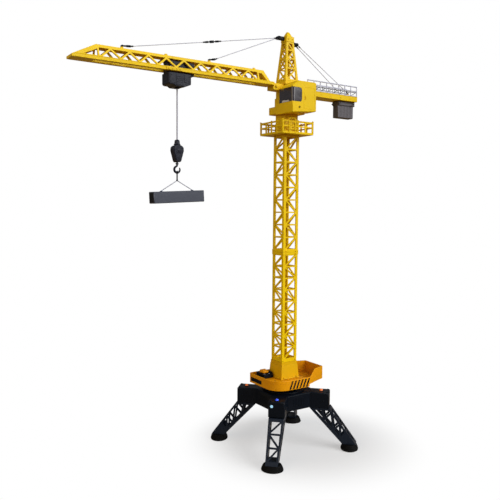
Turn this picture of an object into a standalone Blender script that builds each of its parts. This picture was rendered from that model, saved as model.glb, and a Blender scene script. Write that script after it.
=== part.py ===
"""Toy tower crane: black four-legged base, slewing lattice tower, jib with trolley and hook, counter-jib.

Metres, +Z up, floor at z = 0. The jib points to -X and the driver's cab is on the -Y side. The origin is on
the floor below the middle of the bounding box, so the tower's axis stands at x = TOWER_X. Every piece is
modelled about the tower's axis, with heights measured from PAD_DEPTH above the floor, and hangs from an empty
there.
"""

import math

import bmesh
import bpy
from mathutils import Matrix, Vector

# ---------------------------------------------------------------- driving dimensions (metres)
GAP = 0.0003  # clearance between neighbouring pieces
TOP_Z = 1.277  # tip of the tower head
JIB_REACH = 0.672  # tower axis to jib tip
REAR_REACH = 0.268  # tower axis to the end of the counter-jib
TOWER_X = (JIB_REACH - REAR_REACH) / 2
PAD_DEPTH = 0.005  # floor to the plane that heights are measured from

# base
HOUSING_HALF = 0.078
HOUSING_LOW, HOUSING_HIGH = 0.125, 0.174
ARM_REACH = 0.145  # tower axis to the end of a corner block
ARM_HALF = 0.025
WALL = 0.003
FOOT_RADIUS = 0.209  # tower axis to a foot's centre
FOOT_TOP = 0.0145
AMBER_RADIUS, BLUE_RADIUS = 0.119, 0.132  # tower axis to a corner light
LEG_TURNS = {"leg_front": 225, "leg_right": 315, "leg_back": 45, "leg_left": 135}

# slewing drive
RING_TEETH, PINION_TEETH = 48, 12
GEAR_MODULE = 0.0016
RING_LOW, RING_HIGH = HOUSING_HIGH + GAP, 0.186
PINION_BEARING = 146.25
PINION_REACH = (RING_TEETH + PINION_TEETH) * GEAR_MODULE / 2
PINION_X = PINION_REACH * math.cos(math.radians(PINION_BEARING))
PINION_Y = PINION_REACH * math.sin(math.radians(PINION_BEARING))

# turntable tray
TRAY_LOW, DECK_TOP, TRAY_RIM, TUB_RIM = 0.190, 0.2125, 0.2185, 0.2375
TRAY_LEFT, TRAY_STEP, TUB_STEP, TRAY_RIGHT = -0.083, 0.050, 0.078, 0.123
TRAY_HALF, TUB_SHOULDER, TUB_HALF = 0.073, 0.060, 0.043
TRAY_ROUND, TRAY_CORNER = 0.046, 0.008  # near and far front corners
TRAY_WALL, TRAY_FLOOR = 0.003, 0.0035
TUB_LOW, TUB_START = 0.198, 0.050

# tower
MAST_HALF = 0.028
MAST_POST = 0.0085
MAST_WALL = 0.0045
MAST_BAYS = 9
RUNG = 0.0042
PEDESTAL_HIGH = 0.265
LOWER_LATTICE = (0.2747, 0.599)
UPPER_LATTICE = (0.615, 0.9600)
MAST_JOINT = 0.607
MAST_TOP = 0.9650
GALLERY_HALF = 0.0585
GALLERY_FLOOR = 0.0045
GALLERY_RAIL = 1.003
NECK_HALF = 0.0245
PLATE_HALF, PLATE_LOW, PLATE_HIGH = 0.040, 1.028, 1.051
HOUSE_HALF = 0.027
HEAD_BLOCK_HIGH = 1.128
CATHEAD_BASE, CATHEAD_TOP, CATHEAD_SHOULDER = 0.0245, 0.0134, 1.248

# cab
CAB_FRONT, CAB_REAR = -0.044, 0.047
CAB_NEAR, CAB_INNER = -0.085, -0.0175
CAB_SILL, CAB_HEADER = 1.056, 1.0975
CAB_ROOF = 1.117

# jib
JIB_LOW, JIB_HIGH = 1.109, 1.1486
JIB_HALF, JIB_TOP_HALF = 0.022, 0.013
CHORD_TOP, TOP_CHORD_LOW = 1.1185, 1.1405
JIB_ROOT = -0.063
JIB_BAY, JIB_BAYS, JIB_FIRST_BAY = 0.0522, 9, -0.597
JIB_SPLIT = -0.395
SLOT_HALF = 0.0105
LEDGE_Z = 1.1145
OUTER_LUG, INNER_LUG = -0.5346, -0.275
SPARE_LUGS = (-0.409, -0.1230)

# counter-jib
DECK_LOW, DECK_HIGH = 1.091, 1.107
DECK_HALF = 0.026
DECK_START = HOUSE_HALF + GAP
REAR_TIE_X = 0.234

# trolley, rope, hook and load
TROLLEY_X = -0.377
TROLLEY_HALF = 0.034
CARRIAGE_X, CARRIAGE_HALF = -0.370, 0.0415
CASE_LOW, CASE_HIGH = 1.0685, 1.1045
DRUM_RADIUS = 0.0085
DRUM_Z = 1.088
ROPE_RADIUS = 0.0021
ROPE_X = -0.3755
DRUM_X = ROPE_X - DRUM_RADIUS
WHEEL_RADIUS = 0.004
AXLE_Z = LEDGE_Z + GAP + WHEEL_RADIUS
WHEEL_PLACES = (CARRIAGE_X - 0.030, CARRIAGE_X + 0.030)
BLOCK_TOP, BLOCK_BOTTOM = 0.9256, 0.8665
HOOK_Z = 0.8467
HOOK_RING, HOOK_WIRE = 0.0086, 0.0031
LOAD_LENGTH, LOAD_SIDE, LOAD_Z = 0.155, 0.032, 0.7715
LOAD_TILT = math.radians(2.9)
SLING_APEX, SLING_SPREAD = 0.8155, 0.0475

COLOURS = {  # colour, roughness, metallic
    "yellow_plastic": ((0.79, 0.58, 0.012), 0.38, 0),
    "orange_plastic": ((0.76, 0.36, 0.008), 0.38, 0),
    "black_plastic": ((0.012, 0.014, 0.018), 0.42, 0),
    "black_rubber": ((0.010, 0.010, 0.011), 0.7, 0),
    "grey_plastic": ((0.36, 0.36, 0.38), 0.45, 0),
    "ballast_plastic": ((0.075, 0.070, 0.078), 0.5, 0),
    "slate_plastic": ((0.085, 0.10, 0.13), 0.45, 0),
    "dark_glass": ((0.035, 0.030, 0.040), 0.12, 0),
    "amber_lens": ((0.95, 0.30, 0.03), 0.2, 0),
    "blue_lens": ((0.02, 0.10, 0.85), 0.15, 0),
    "pale_lens": ((0.45, 0.70, 0.90), 0.12, 0),
    "seat_plastic": ((0.62, 0.64, 0.68), 0.5, 0),
    "grey_cord": ((0.30, 0.30, 0.34), 0.8, 0),
    "tie_wire": ((0.45, 0.45, 0.48), 0.4, 0),
}


# ---------------------------------------------------------------- scene and materials
for item in list(bpy.data.objects):
    bpy.data.objects.remove(item)
scene = bpy.context.scene
parts = bpy.data.collections.new("toy_tower_crane")
scene.collection.children.link(parts)


def make_material(name):
    colour, roughness, metallic = COLOURS[name]
    material = bpy.data.materials.new(name)
    material.use_nodes = True
    shader = material.node_tree.nodes["Principled BSDF"]
    shader.inputs["Base Color"].default_value = (*colour, 1)
    shader.inputs["Roughness"].default_value = roughness
    shader.inputs["Metallic"].default_value = metallic
    material.diffuse_color = (*colour, 1)
    return material


MATERIALS = {name: make_material(name) for name in COLOURS}


def empty(name, place, parent=None):
    marker = bpy.data.objects.new(name, None)
    parts.objects.link(marker)
    marker.location = place
    marker.empty_display_size = 0.02
    marker.parent = parent
    return marker


# ---------------------------------------------------------------- shapes, all about the tower's axis
def mesh_from(bm):
    mesh = bpy.data.meshes.new("shape")
    bm.to_mesh(mesh)
    bm.free()
    shape = bpy.data.objects.new("shape", mesh)
    scene.collection.objects.link(shape)
    return shape


def applied(shape):
    """The shape with its modifiers made real, and a curve made a mesh with its caps welded."""
    graph = bpy.context.evaluated_depsgraph_get()
    mesh = bpy.data.meshes.new_from_object(shape.evaluated_get(graph))
    bm = bmesh.new()
    bm.from_mesh(mesh)
    bm.transform(shape.matrix_world)
    bmesh.ops.remove_doubles(bm, verts=bm.verts, dist=1e-6)
    bpy.data.objects.remove(shape)
    return mesh_from(bm)


def box(low, high):
    low, high = Vector(low), Vector(high)
    bm = bmesh.new()
    size = Matrix.Diagonal((*(high - low), 1))
    bmesh.ops.create_cube(bm, size=1, matrix=Matrix.Translation((low + high) / 2) @ size)
    return mesh_from(bm)


def rod(start, end, radius, sides=12, end_radius=None):
    """A round bar from start to end, tapered when end_radius is given."""
    start, end = Vector(start), Vector(end)
    along = end - start
    turn = along.to_track_quat("Z", "Y").to_matrix().to_4x4()
    bm = bmesh.new()
    bmesh.ops.create_cone(
        bm,
        cap_ends=True,
        segments=sides,
        radius1=radius,
        radius2=radius if end_radius is None else end_radius,
        depth=along.length,
        matrix=Matrix.Translation((start + end) / 2) @ turn,
    )
    return mesh_from(bm)


def frustum(low_z, low_half, high_z, high_half):
    """A square block whose half-width goes from low_half to high_half."""
    bm = bmesh.new()
    turn = Matrix.Rotation(math.radians(45), 4, "Z")
    middle = Matrix.Translation((0, 0, (low_z + high_z) / 2))
    bmesh.ops.create_cone(
        bm,
        cap_ends=True,
        segments=4,
        radius1=low_half * math.sqrt(2),
        radius2=high_half * math.sqrt(2),
        depth=high_z - low_z,
        matrix=middle @ turn,
    )
    return mesh_from(bm)


def slab(outlines, low, high, axis="Z"):
    """Flat outlines made solid from low to high along an axis; an outline inside another is a hole.

    Outlines hold (x, y) for axis Z, (x, z) for axis Y and (y, z) for axis X.
    """
    curve = bpy.data.curves.new("outline", "CURVE")
    curve.dimensions = "2D"
    curve.fill_mode = "BOTH"
    curve.extrude = (high - low) / 2
    for outline in outlines:
        spline = curve.splines.new("POLY")
        spline.points.add(len(outline) - 1)
        for point, (u, v) in zip(spline.points, outline):
            point.co = (u, v, 0, 1)
        spline.use_cyclic_u = True
    shape = bpy.data.objects.new("outline", curve)
    scene.collection.objects.link(shape)
    columns = {
        "X": ((0, 1, 0), (0, 0, 1), (1, 0, 0)),
        "Y": ((1, 0, 0), (0, 0, 1), (0, -1, 0)),
        "Z": ((1, 0, 0), (0, 1, 0), (0, 0, 1)),
    }[axis]
    turn = Matrix(columns).transposed().to_4x4()
    middle = [0, 0, 0]
    middle["XYZ".index(axis)] = (low + high) / 2
    shape.matrix_world = Matrix.Translation(middle) @ turn
    bpy.context.view_layer.update()
    return applied(shape)


def turned(profile, place, sides):
    """A profile of (radius, z), from its lowest point up, turned about the Z axis at place."""
    curve = bpy.data.meshes.new("profile")
    points = [(radius, 0, z) for radius, z in reversed(profile)]
    curve.from_pydata(points, [(i, i + 1) for i in range(len(points) - 1)], [])
    shape = bpy.data.objects.new("profile", curve)
    scene.collection.objects.link(shape)
    screw = shape.modifiers.new("turn", "SCREW")
    screw.steps = screw.render_steps = sides
    screw.use_merge_vertices = True
    screw.merge_threshold = 0.00001
    shape.location = place
    bpy.context.view_layer.update()
    return applied(shape)


def tube(points, radius, resolution=2):
    """A round wire along points, closed at both ends."""
    curve = bpy.data.curves.new("wire", "CURVE")
    curve.dimensions = "3D"
    curve.bevel_depth = radius
    curve.bevel_resolution = resolution
    curve.use_fill_caps = True
    spline = curve.splines.new("POLY")
    spline.points.add(len(points) - 1)
    for point, place in zip(spline.points, points):
        point.co = (*place, 1)
    shape = bpy.data.objects.new("wire", curve)
    scene.collection.objects.link(shape)
    bpy.context.view_layer.update()
    return applied(shape)


def combined(operation, base, others):
    for other in others:
        step = base.modifiers.new(operation.lower(), "BOOLEAN")
        step.operation = operation
        step.solver = "EXACT"
        step.object = other
    bpy.context.view_layer.update()
    result = applied(base)
    for other in others:
        bpy.data.objects.remove(other)
    return result


def joined(base, *others):
    return combined("UNION", base, others)


def cut(base, *others):
    return combined("DIFFERENCE", base, others)


def eased(shape, width, segments=1, limit=30):
    """The shape with its sharp edges bevelled."""
    bevel = shape.modifiers.new("ease", "BEVEL")
    bevel.width = width
    bevel.segments = segments
    bevel.limit_method = "ANGLE"
    bevel.angle_limit = math.radians(limit)
    bpy.context.view_layer.update()
    return applied(shape)


def moved(shape, matrix):
    shape.data.transform(matrix)
    return shape


def about_tower(degrees):
    return Matrix.Rotation(math.radians(degrees), 4, "Z")


def part(name, shape, material, parent, pivot=(0, 0, 0)):
    """Names the shape as a sub-part, with its origin at pivot, and hangs it from parent."""
    shape.name = shape.data.name = name
    shape.data.transform(Matrix.Translation(-Vector(pivot)))
    scene.collection.objects.unlink(shape)
    parts.objects.link(shape)
    shape.data.materials.clear()
    shape.data.materials.append(MATERIALS[material])
    shape.data.shade_smooth()
    shape.data.set_sharp_from_angle(angle=math.radians(32))
    shape.parent = parent
    above = Vector((TOWER_X, 0, PAD_DEPTH)) + Vector(pivot)
    shape.location = above - world_place(parent)
    return shape


def world_place(marker):
    place = Vector(marker.location)
    while marker.parent:
        marker = marker.parent
        place += marker.location
    return place


# ---------------------------------------------------------------- outlines
def arc(centre, radius, start, end, steps):
    angles = [math.radians(start + (end - start) * i / steps) for i in range(steps + 1)]
    return [(centre[0] + radius * math.cos(a), centre[1] + radius * math.sin(a)) for a in angles]


def rectangle(x0, x1, y0, y1):
    return [(x0, y0), (x1, y0), (x1, y1), (x0, y1)]


def braced_bay(half, low, high, member, leans_right):
    """The two triangular windows that a diagonal leaves in one rectangular bay."""
    slope = math.atan2(high - low, 2 * half)
    up = member / 2 / math.cos(slope)
    aside = member / 2 / math.sin(slope)
    windows = [
        [(-half, low + up), (half - aside, high), (-half, high)],
        [(-half + aside, low), (half, low), (half, high - up)],
    ]
    if leans_right:
        return windows
    return [[(-x, z) for x, z in reversed(window)] for window in windows]


def mast_windows(lattice, axis):
    """The windows of one pair of walls; the top bay's diagonal rises to the right on both near faces."""
    bay = (lattice[1] - lattice[0]) / MAST_BAYS
    first = 0 if axis == "Y" else 1
    windows = []
    for i in range(MAST_BAYS):
        top = lattice[1] - i * bay
        low, high = top - bay + RUNG / 2, top - RUNG / 2
        windows += braced_bay(MAST_HALF - MAST_POST, low, high, RUNG, (i + first) % 2 == 0)
    return windows


def zigzag_windows(first, bay, bays, low, high, member, ends):
    """Triangular windows between two chords with a zigzag of diagonals, closed by a post at each end."""
    slope = math.atan2(high - low, bay / 2)
    aside = member / 2 / math.sin(slope)
    tip = aside * math.tan(slope)
    last = first + bays * bay
    windows = [
        [(ends[0], low + tip), (first, low + tip), (first + bay / 2 - aside, high), (ends[0], high)],
        [(last, low + tip), (ends[1], low + tip), (ends[1], high), (last - bay / 2 + aside, high)],
    ]
    for i in range(bays):
        left, middle, right = first + i * bay, first + (i + 0.5) * bay, first + (i + 1) * bay
        windows.append([(left + aside, low), (right - aside, low), (middle, high - tip)])
        if i < bays - 1:
            windows.append([(middle + aside, high), (right, low + tip), (right + bay / 2 - aside, high)])
    return windows


def gear_outline(teeth, module, phase):
    """A spur gear's outline: straight flanks thinned for backlash, turned by phase, in tooth pitches."""
    pitch = teeth * module / 2
    root, tip = pitch - 1.15 * module, pitch + 0.85 * module
    shares = ((-0.31, root), (-0.10, tip), (0.10, tip), (0.31, root))
    points = []
    for tooth in range(teeth):
        for share, radius in shares:
            angle = 2 * math.pi * (tooth + share + phase) / teeth
            points.append((radius * math.cos(angle), radius * math.sin(angle)))
    return points


# ---------------------------------------------------------------- base
def corner_block(inset, low, high):
    return box((0.05, -ARM_HALF + inset, low), (ARM_REACH - inset, ARM_HALF - inset, high))


def base_housing():
    half, inner = HOUSING_HALF, HOUSING_HALF - WALL
    low, roof = HOUSING_LOW, HOUSING_HIGH - WALL
    shell = box((-half, -half, low), (half, half, HOUSING_HIGH))
    arms = [moved(corner_block(0, low, HOUSING_HIGH), about_tower(t)) for t in LEG_TURNS.values()]
    shell = eased(joined(shell, *arms), 0.0025)
    rooms = [moved(corner_block(WALL, low - WALL, roof), about_tower(t)) for t in LEG_TURNS.values()]
    room = joined(box((-inner, -inner, low - WALL), (inner, inner, roof)), *rooms)
    switch_seat = box((-0.012, half - 0.002, 0.145), (0.012, half + WALL, 0.155))
    return cut(shell, room, switch_seat)


def base_bottom_cover():
    half = HOUSING_HALF - WALL - 0.0005
    hatch = rectangle(-0.034, 0.034, -0.026, 0.026)
    return slab([rectangle(-half, half, -half, half), hatch], HOUSING_LOW + 0.0005, HOUSING_LOW + 0.0035)


def battery_cover():
    plate = slab([rectangle(-0.0336, 0.0336, -0.0256, 0.0256)], HOUSING_LOW + 0.0005, HOUSING_LOW + 0.0035)
    grip = box((0.020, -0.008, HOUSING_LOW - 0.0008), (0.026, 0.008, HOUSING_LOW + 0.001))
    return joined(plate, grip)


def wedge(low_z, low_box, high_z, high_box):
    """A block between two rectangles (x0, x1, half-width) at two heights."""
    bm = bmesh.new()
    bmesh.ops.create_cube(bm, size=2)
    for vertex in bm.verts:
        x0, x1, half = low_box if vertex.co.z < 0 else high_box
        z = low_z if vertex.co.z < 0 else high_z
        vertex.co = (x0 if vertex.co.x < 0 else x1, half * vertex.co.y, z)
    return mesh_from(bm)


LEG_LOW, LEG_HIGH = FOOT_TOP + GAP, HOUSING_LOW - GAP
LEG_FOOT_BOX = (0.188, 0.2300, 0.0178)
LEG_TOP_BOX = (0.085, 0.1480, 0.0228)


LEG_CHEEK_WINDOWS = (  # radius and height of each corner, seen from the side of a leg
    ((0.1025, 0.1182), (0.1217, 0.1182), (0.1260, 0.0946)),
    ((0.1280, 0.1182), (0.1457, 0.1182), (0.1495, 0.1131), (0.1328, 0.0958)),
    ((0.1334, 0.0873), (0.1507, 0.1054), (0.1565, 0.0633)),
    ((0.1561, 0.1047), (0.1753, 0.0776), (0.1619, 0.0631)),
    ((0.1634, 0.0558), (0.1766, 0.0699), (0.1774, 0.0413)),
    ((0.1822, 0.0683), (0.1945, 0.0510), (0.1829, 0.0395)),
)


def leg():
    """A channel leg along +X: a latticed outer face, two latticed cheeks and an open inner side."""
    body = wedge(LEG_LOW, LEG_FOOT_BOX, LEG_HIGH, LEG_TOP_BOX)
    skin = 0.0035
    room = wedge(
        LEG_LOW + 0.008,
        (LEG_FOOT_BOX[0] - 0.03, LEG_FOOT_BOX[1] - skin - 0.006, LEG_FOOT_BOX[2] - skin),
        LEG_HIGH - 0.004,
        (LEG_TOP_BOX[0] - 0.03, LEG_TOP_BOX[1] - skin + 0.003, LEG_TOP_BOX[2] - skin),
    )
    low, high = LEG_LOW + 0.008, LEG_HIGH - 0.006
    bay = (high - low) / 3
    lattice = []
    for i in range(3):
        bay_low, bay_high = low + i * bay + 0.002, low + (i + 1) * bay - 0.002
        share = (LEG_HIGH - (bay_low + bay_high) / 2) / (LEG_HIGH - LEG_LOW)
        half = LEG_TOP_BOX[2] + (LEG_FOOT_BOX[2] - LEG_TOP_BOX[2]) * share - 0.0055
        lattice += braced_bay(half, bay_low, bay_high, 0.0048, i % 2 == 0)
    face_windows = slab(lattice, 0.10, 0.25, "X")
    cheek_windows = slab(LEG_CHEEK_WINDOWS, -0.04, 0.04, "Y")
    return cut(body, room, face_windows, cheek_windows)


def foot():
    """An oval flared pad, wider across than along the leg."""
    floor = -PAD_DEPTH
    rim = [(0, floor), (0.028, floor), (0.0325, floor + 0.004), (0.0318, floor + 0.008)]
    pad = turned([*rim, (0.0275, FOOT_TOP - 0.004), (0.026, FOOT_TOP), (0, FOOT_TOP)], (0, 0, 0), 24)
    pad.data.transform(Matrix.Diagonal((0.84, 1, 1, 1)))
    return moved(pad, Matrix.Translation((FOOT_RADIUS, 0, 0)))


def dome(radius, height, place):
    steps = 4
    curve = [
        (radius * math.cos(math.pi / 2 * i / steps), height * math.sin(math.pi / 2 * i / steps))
        for i in range(steps)
    ]
    return turned([(0, -0.0015), (radius, -0.0015), *curve, (0, height)], place, 14)


# ---------------------------------------------------------------- turntable
def tray_outline(inset):
    """The tray's plan, drawn in by inset: a broad near corner, a tight far one and a tapering tub."""
    near_centre = (TRAY_LEFT + TRAY_ROUND, -TRAY_HALF + TRAY_ROUND)
    far_centre = (TRAY_LEFT + TRAY_CORNER, TRAY_HALF - TRAY_CORNER)
    tub = [
        (TRAY_STEP, -TRAY_HALF + inset),
        (TUB_STEP, -TUB_SHOULDER + inset),
        (TRAY_RIGHT - inset, -TUB_HALF + inset),
    ]
    return (
        arc(near_centre, TRAY_ROUND - inset, 180, 270, 8)
        + tub
        + [(x, -y) for x, y in reversed(tub)]
        + arc(far_centre, TRAY_CORNER - inset, 90, 180, 3)
    )


def turntable_tray():
    """A skirted deck at the front and a deeper tub behind, turning on a hub inside the slewing ring."""
    above, below = TUB_RIM + 0.01, TRAY_LOW - 0.01
    body = slab([tray_outline(0)], TRAY_LOW, TUB_RIM)
    rail = slab([tray_outline(TRAY_WALL)], DECK_TOP, above)
    front_end, tub_end = TUB_START - 2 * TRAY_WALL, TUB_START - TRAY_WALL
    well_wall = TRAY_WALL + 0.0004
    skirt_room = cut(
        slab([tray_outline(well_wall)], below, DECK_TOP - TRAY_FLOOR),
        box((front_end, -0.1, below - 0.01), (0.2, 0.1, above)),
    )
    tub_room = cut(
        slab([tray_outline(well_wall)], TUB_LOW + TRAY_FLOOR, DECK_TOP + 0.001),
        box((-0.1, -0.1, TUB_LOW), (TUB_START, 0.1, above)),
    )
    under_tub = box((tub_end, -0.1, below), (0.2, 0.1, TUB_LOW))
    left = TRAY_LEFT - 0.01
    front_drop = [
        (left, TRAY_RIM),
        (TRAY_STEP, TRAY_RIM),
        (TUB_STEP, TUB_RIM),
        (TUB_STEP, above),
        (left, above),
    ]
    drop = slab([front_drop], -0.1, 0.1, "Y")
    end_panel = box((left, 0.003, 0.1960), (TRAY_LEFT + 0.0015, 0.062, 0.2085))
    shaft_hole = rod((PINION_X, PINION_Y, DECK_TOP - 0.01), (PINION_X, PINION_Y, DECK_TOP + 0.01), 0.0035, 16)
    hub = rod((0, 0, HOUSING_HIGH + 0.0006), (0, 0, DECK_TOP - 0.001), 0.0235, 24)
    return cut(joined(cut(body, rail, skirt_room, tub_room, under_tub, drop, end_panel), hub), shaft_hole)


def slew_motor():
    """The motor's case with a round can on top, and a hole below for the pinion's shaft."""
    floor = DECK_TOP + GAP
    case = eased(box((-0.0715, 0.004, floor), (-0.0375, 0.051, 0.2265)), 0.002)
    can = rod((-0.0425, 0.010, 0.2275), (-0.0425, 0.046, 0.2275), 0.0045, 14)
    shaft_hole = rod((PINION_X, PINION_Y, floor - 0.01), (PINION_X, PINION_Y, floor + 0.006), 0.004, 16)
    return cut(joined(case, can), shaft_hole)


def slew_gear_cover():
    return eased(box((-0.0690, 0.012, 0.2268), (-0.0490, 0.037, 0.2355)), 0.003, 2)


def slew_pinion():
    phase = (PINION_BEARING + 180) * PINION_TEETH / 360
    gear = slab([gear_outline(PINION_TEETH, GEAR_MODULE, phase)], RING_LOW + 0.001, RING_HIGH - 0.001)
    shaft = rod((0, 0, RING_LOW + 0.002), (0, 0, DECK_TOP + 0.005), 0.0028, 12)
    return moved(joined(gear, shaft), Matrix.Translation((PINION_X, PINION_Y, 0)))


def slew_ring():
    outline = gear_outline(RING_TEETH, GEAR_MODULE, 0)
    return slab([outline, arc((0, 0), 0.026, 0, 345, 23)], RING_LOW, RING_HIGH)


# ---------------------------------------------------------------- tower
def pedestal():
    low = DECK_TOP + GAP
    body = frustum(low, 0.0340, 0.256, 0.0305)
    collar = frustum(0.2555, 0.0296, PEDESTAL_HIGH, 0.0296)
    skirt = frustum(low, 0.0355, low + 0.0035, 0.0350)
    return joined(body, collar, skirt)


def mast_section(low, high, lattice):
    inner = MAST_HALF - MAST_WALL
    post = box((-MAST_HALF, -MAST_HALF, low), (MAST_HALF, MAST_HALF, high))
    bore = box((-inner, -inner, low - 0.01), (inner, inner, high + 0.01))
    through = [slab(mast_windows(lattice, axis), -0.04, 0.04, axis) for axis in "XY"]
    return cut(cut(post, bore), *through)


def joint_band(low, high):
    outer = MAST_HALF + 0.0012
    inner = MAST_HALF - MAST_WALL
    return slab([rectangle(-outer, outer, -outer, outer), rectangle(-inner, inner, -inner, inner)], low, high)


def mast_lower():
    low = PEDESTAL_HIGH + GAP
    return joined(mast_section(low, MAST_JOINT, LOWER_LATTICE), joint_band(0.5995, MAST_JOINT))


def mast_upper():
    low = MAST_JOINT + GAP
    return joined(mast_section(low, MAST_TOP, UPPER_LATTICE), joint_band(low, 0.6145))


def rail_openings(start, end, low, high, bays, post, bar):
    """Two rows of openings that leave posts, a middle rail and a top rail between start and end."""
    width = (end - start - post) / bays
    middle = (low + high) / 2
    openings = []
    for i in range(bays):
        left, right = start + post + i * width, start + (i + 1) * width
        openings.append(rectangle(left, right, low, middle - bar / 2))
        openings.append(rectangle(left, right, middle + bar / 2, high - bar))
    return openings


def gallery():
    half, inner = GALLERY_HALF, GALLERY_HALF - 0.0030
    floor_top = MAST_TOP + GAP + GALLERY_FLOOR
    tub = box((-half, -half, MAST_TOP + GAP), (half, half, GALLERY_RAIL))
    room = box((-inner, -inner, floor_top), (inner, inner, GALLERY_RAIL + 0.01))
    openings = rail_openings(-half, half, floor_top + 0.002, GALLERY_RAIL, 4, 0.0052, 0.0038)
    through = [slab(openings, -0.07, 0.07, axis) for axis in "XY"]
    return cut(tub, room, *through)


def neck():
    low = MAST_TOP + 2 * GAP + GALLERY_FLOOR
    half = NECK_HALF
    body = box((-half, -half, low), (half, half, PLATE_LOW - GAP))
    door = box((-0.008, -half - 0.01, low + 0.006), (0.016, -half + 0.0015, low + 0.045))
    return cut(body, door)


def house():
    """The slewing house: a square plate, a shouldered body and the block that carries the head and jibs."""
    half = HOUSE_HALF
    plate = eased(box((-PLATE_HALF, -PLATE_HALF, PLATE_LOW), (PLATE_HALF, PLATE_HALF, PLATE_HIGH)), 0.0015)
    body = box((-half, CAB_INNER + GAP, PLATE_HIGH - 0.001), (half, half, 1.078))
    top = box((-0.0245, CAB_INNER + GAP, 1.077), (0.0245, 0.0245, 1.119))
    block = box((-0.0245, -0.0245, CAB_ROOF + GAP), (0.0245, 0.0245, HEAD_BLOCK_HIGH))
    return joined(plate, body, top, block)


def cathead():
    """The lattice head: four tapering posts with braced bays, a head block and a pointed cap."""
    low = HEAD_BLOCK_HIGH + GAP
    shoulder = CATHEAD_SHOULDER
    spire = frustum(low, CATHEAD_BASE, shoulder, CATHEAD_TOP)
    bore = frustum(low - 0.001, CATHEAD_BASE - 0.004, shoulder - 0.008, CATHEAD_TOP - 0.004)
    bays = 4
    bottom, top = low + 0.003, shoulder - 0.005
    windows = []
    for i in range(bays):
        share = (1 - 0.86**i) / (1 - 0.86**bays)
        next_share = (1 - 0.86 ** (i + 1)) / (1 - 0.86**bays)
        bay_low, bay_high = bottom + (top - bottom) * share, bottom + (top - bottom) * next_share
        half = CATHEAD_BASE + (CATHEAD_TOP - CATHEAD_BASE) * (bay_high - low) / (shoulder - low)
        windows += braced_bay(half - 0.0058, bay_low + 0.0018, bay_high - 0.0018, 0.0036, i % 2 == 0)
    through = [slab(windows, -0.04, 0.04, axis) for axis in "XY"]
    lattice = cut(cut(spire, bore), *through)
    block = frustum(shoulder - 0.002, 0.0148, 1.262, 0.0138)
    cap = frustum(1.2605, 0.0110, TOP_Z, 0.0032)
    return joined(lattice, block, cap)


# ---------------------------------------------------------------- cab
def cab_shell():
    floor_front, floor_rear = 1.0235, 1.032
    outline = [
        (CAB_FRONT, floor_front),
        (CAB_REAR, floor_rear),
        (CAB_REAR, CAB_ROOF - 0.003),
        (CAB_REAR - 0.003, CAB_ROOF),
        (-0.020, CAB_ROOF),
        (CAB_FRONT, 1.101),
    ]
    shell = eased(slab([outline], CAB_NEAR, CAB_INNER, "Y"), 0.0018)
    apron = box((CAB_FRONT, CAB_INNER - 0.004, floor_front + 0.002), (-0.0403, -0.002, CAB_SILL + 0.001))
    room = box((CAB_FRONT + 0.004, CAB_NEAR + 0.004, CAB_SILL), (CAB_REAR - 0.004, CAB_INNER - 0.0025, 1.1005))
    front = box((CAB_FRONT - 0.01, CAB_NEAR - 0.01, CAB_SILL), (CAB_FRONT + 0.005, -0.0200, CAB_HEADER))
    side = box((CAB_FRONT - 0.01, CAB_NEAR - 0.01, CAB_SILL), (-0.008, CAB_NEAR + 0.005, CAB_HEADER))
    plate_room = box((-0.0403, -PLATE_HALF - GAP, 1.0), (0.06, 0.01, PLATE_HIGH + GAP))
    vent = rod((-0.017, CAB_NEAR - 0.01, 1.041), (-0.017, CAB_NEAR + 0.0025, 1.041), 0.0028, 12)
    return cut(joined(shell, apron), room, front, side, plate_room, vent)


def cab_front_window():
    inset = 0.0004
    return box(
        (CAB_FRONT + inset, CAB_NEAR + inset, CAB_SILL + inset),
        (CAB_FRONT + 0.002, -0.0200 - inset, CAB_HEADER - inset),
    )


def cab_side_window():
    inset = 0.0004
    return box(
        (CAB_FRONT + 0.002 + GAP, CAB_NEAR + inset, CAB_SILL + inset),
        (-0.008 - inset, CAB_NEAR + 0.002, CAB_HEADER - inset),
    )


def cab_seat():
    seat = box((-0.022, -0.066, CAB_SILL + GAP), (-0.002, -0.040, 1.064))
    back = box((-0.005, -0.066, 1.060), (-0.001, -0.040, 1.086))
    console = box((-0.038, -0.070, CAB_SILL + GAP), (-0.030, -0.036, 1.062))
    foot_plate = box((-0.034, -0.058, CAB_SILL + GAP), (-0.018, -0.048, 1.0575))
    return joined(seat, back, console, foot_plate)


# ---------------------------------------------------------------- jib
def jib_root():
    """The bracket at the jib's root: a saddle under the lower chords and a hinge block at the house."""
    low, high = 1.0905, JIB_LOW - GAP
    front, rear = -0.0245 - GAP, -0.0810
    outline = [
        (rear, 1.0960),
        (rear + 0.004, low),
        (-0.058, low),
        (-0.052, 1.0960),
        (front, 1.0960),
        (front, high),
        (rear, high),
    ]
    saddle = slab([outline], -0.0145, 0.0145, "Y")
    block = box((JIB_ROOT + GAP, -0.0165, 1.097), (front, 0.0165, 1.1165))
    pin = rod((-0.052, -0.0205, 1.1075), (-0.052, 0.0205, 1.1075), 0.0038, 12)
    return joined(saddle, block, pin)


def jib_profile(inset):
    half, top_half = JIB_HALF - inset, JIB_TOP_HALF - inset
    low, high = JIB_LOW, JIB_HIGH - inset
    shoulder = CHORD_TOP - 0.001
    right = [(half, low), (half, shoulder), (top_half, high)]
    return right + [(-y, z) for y, z in reversed(right)]


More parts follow.
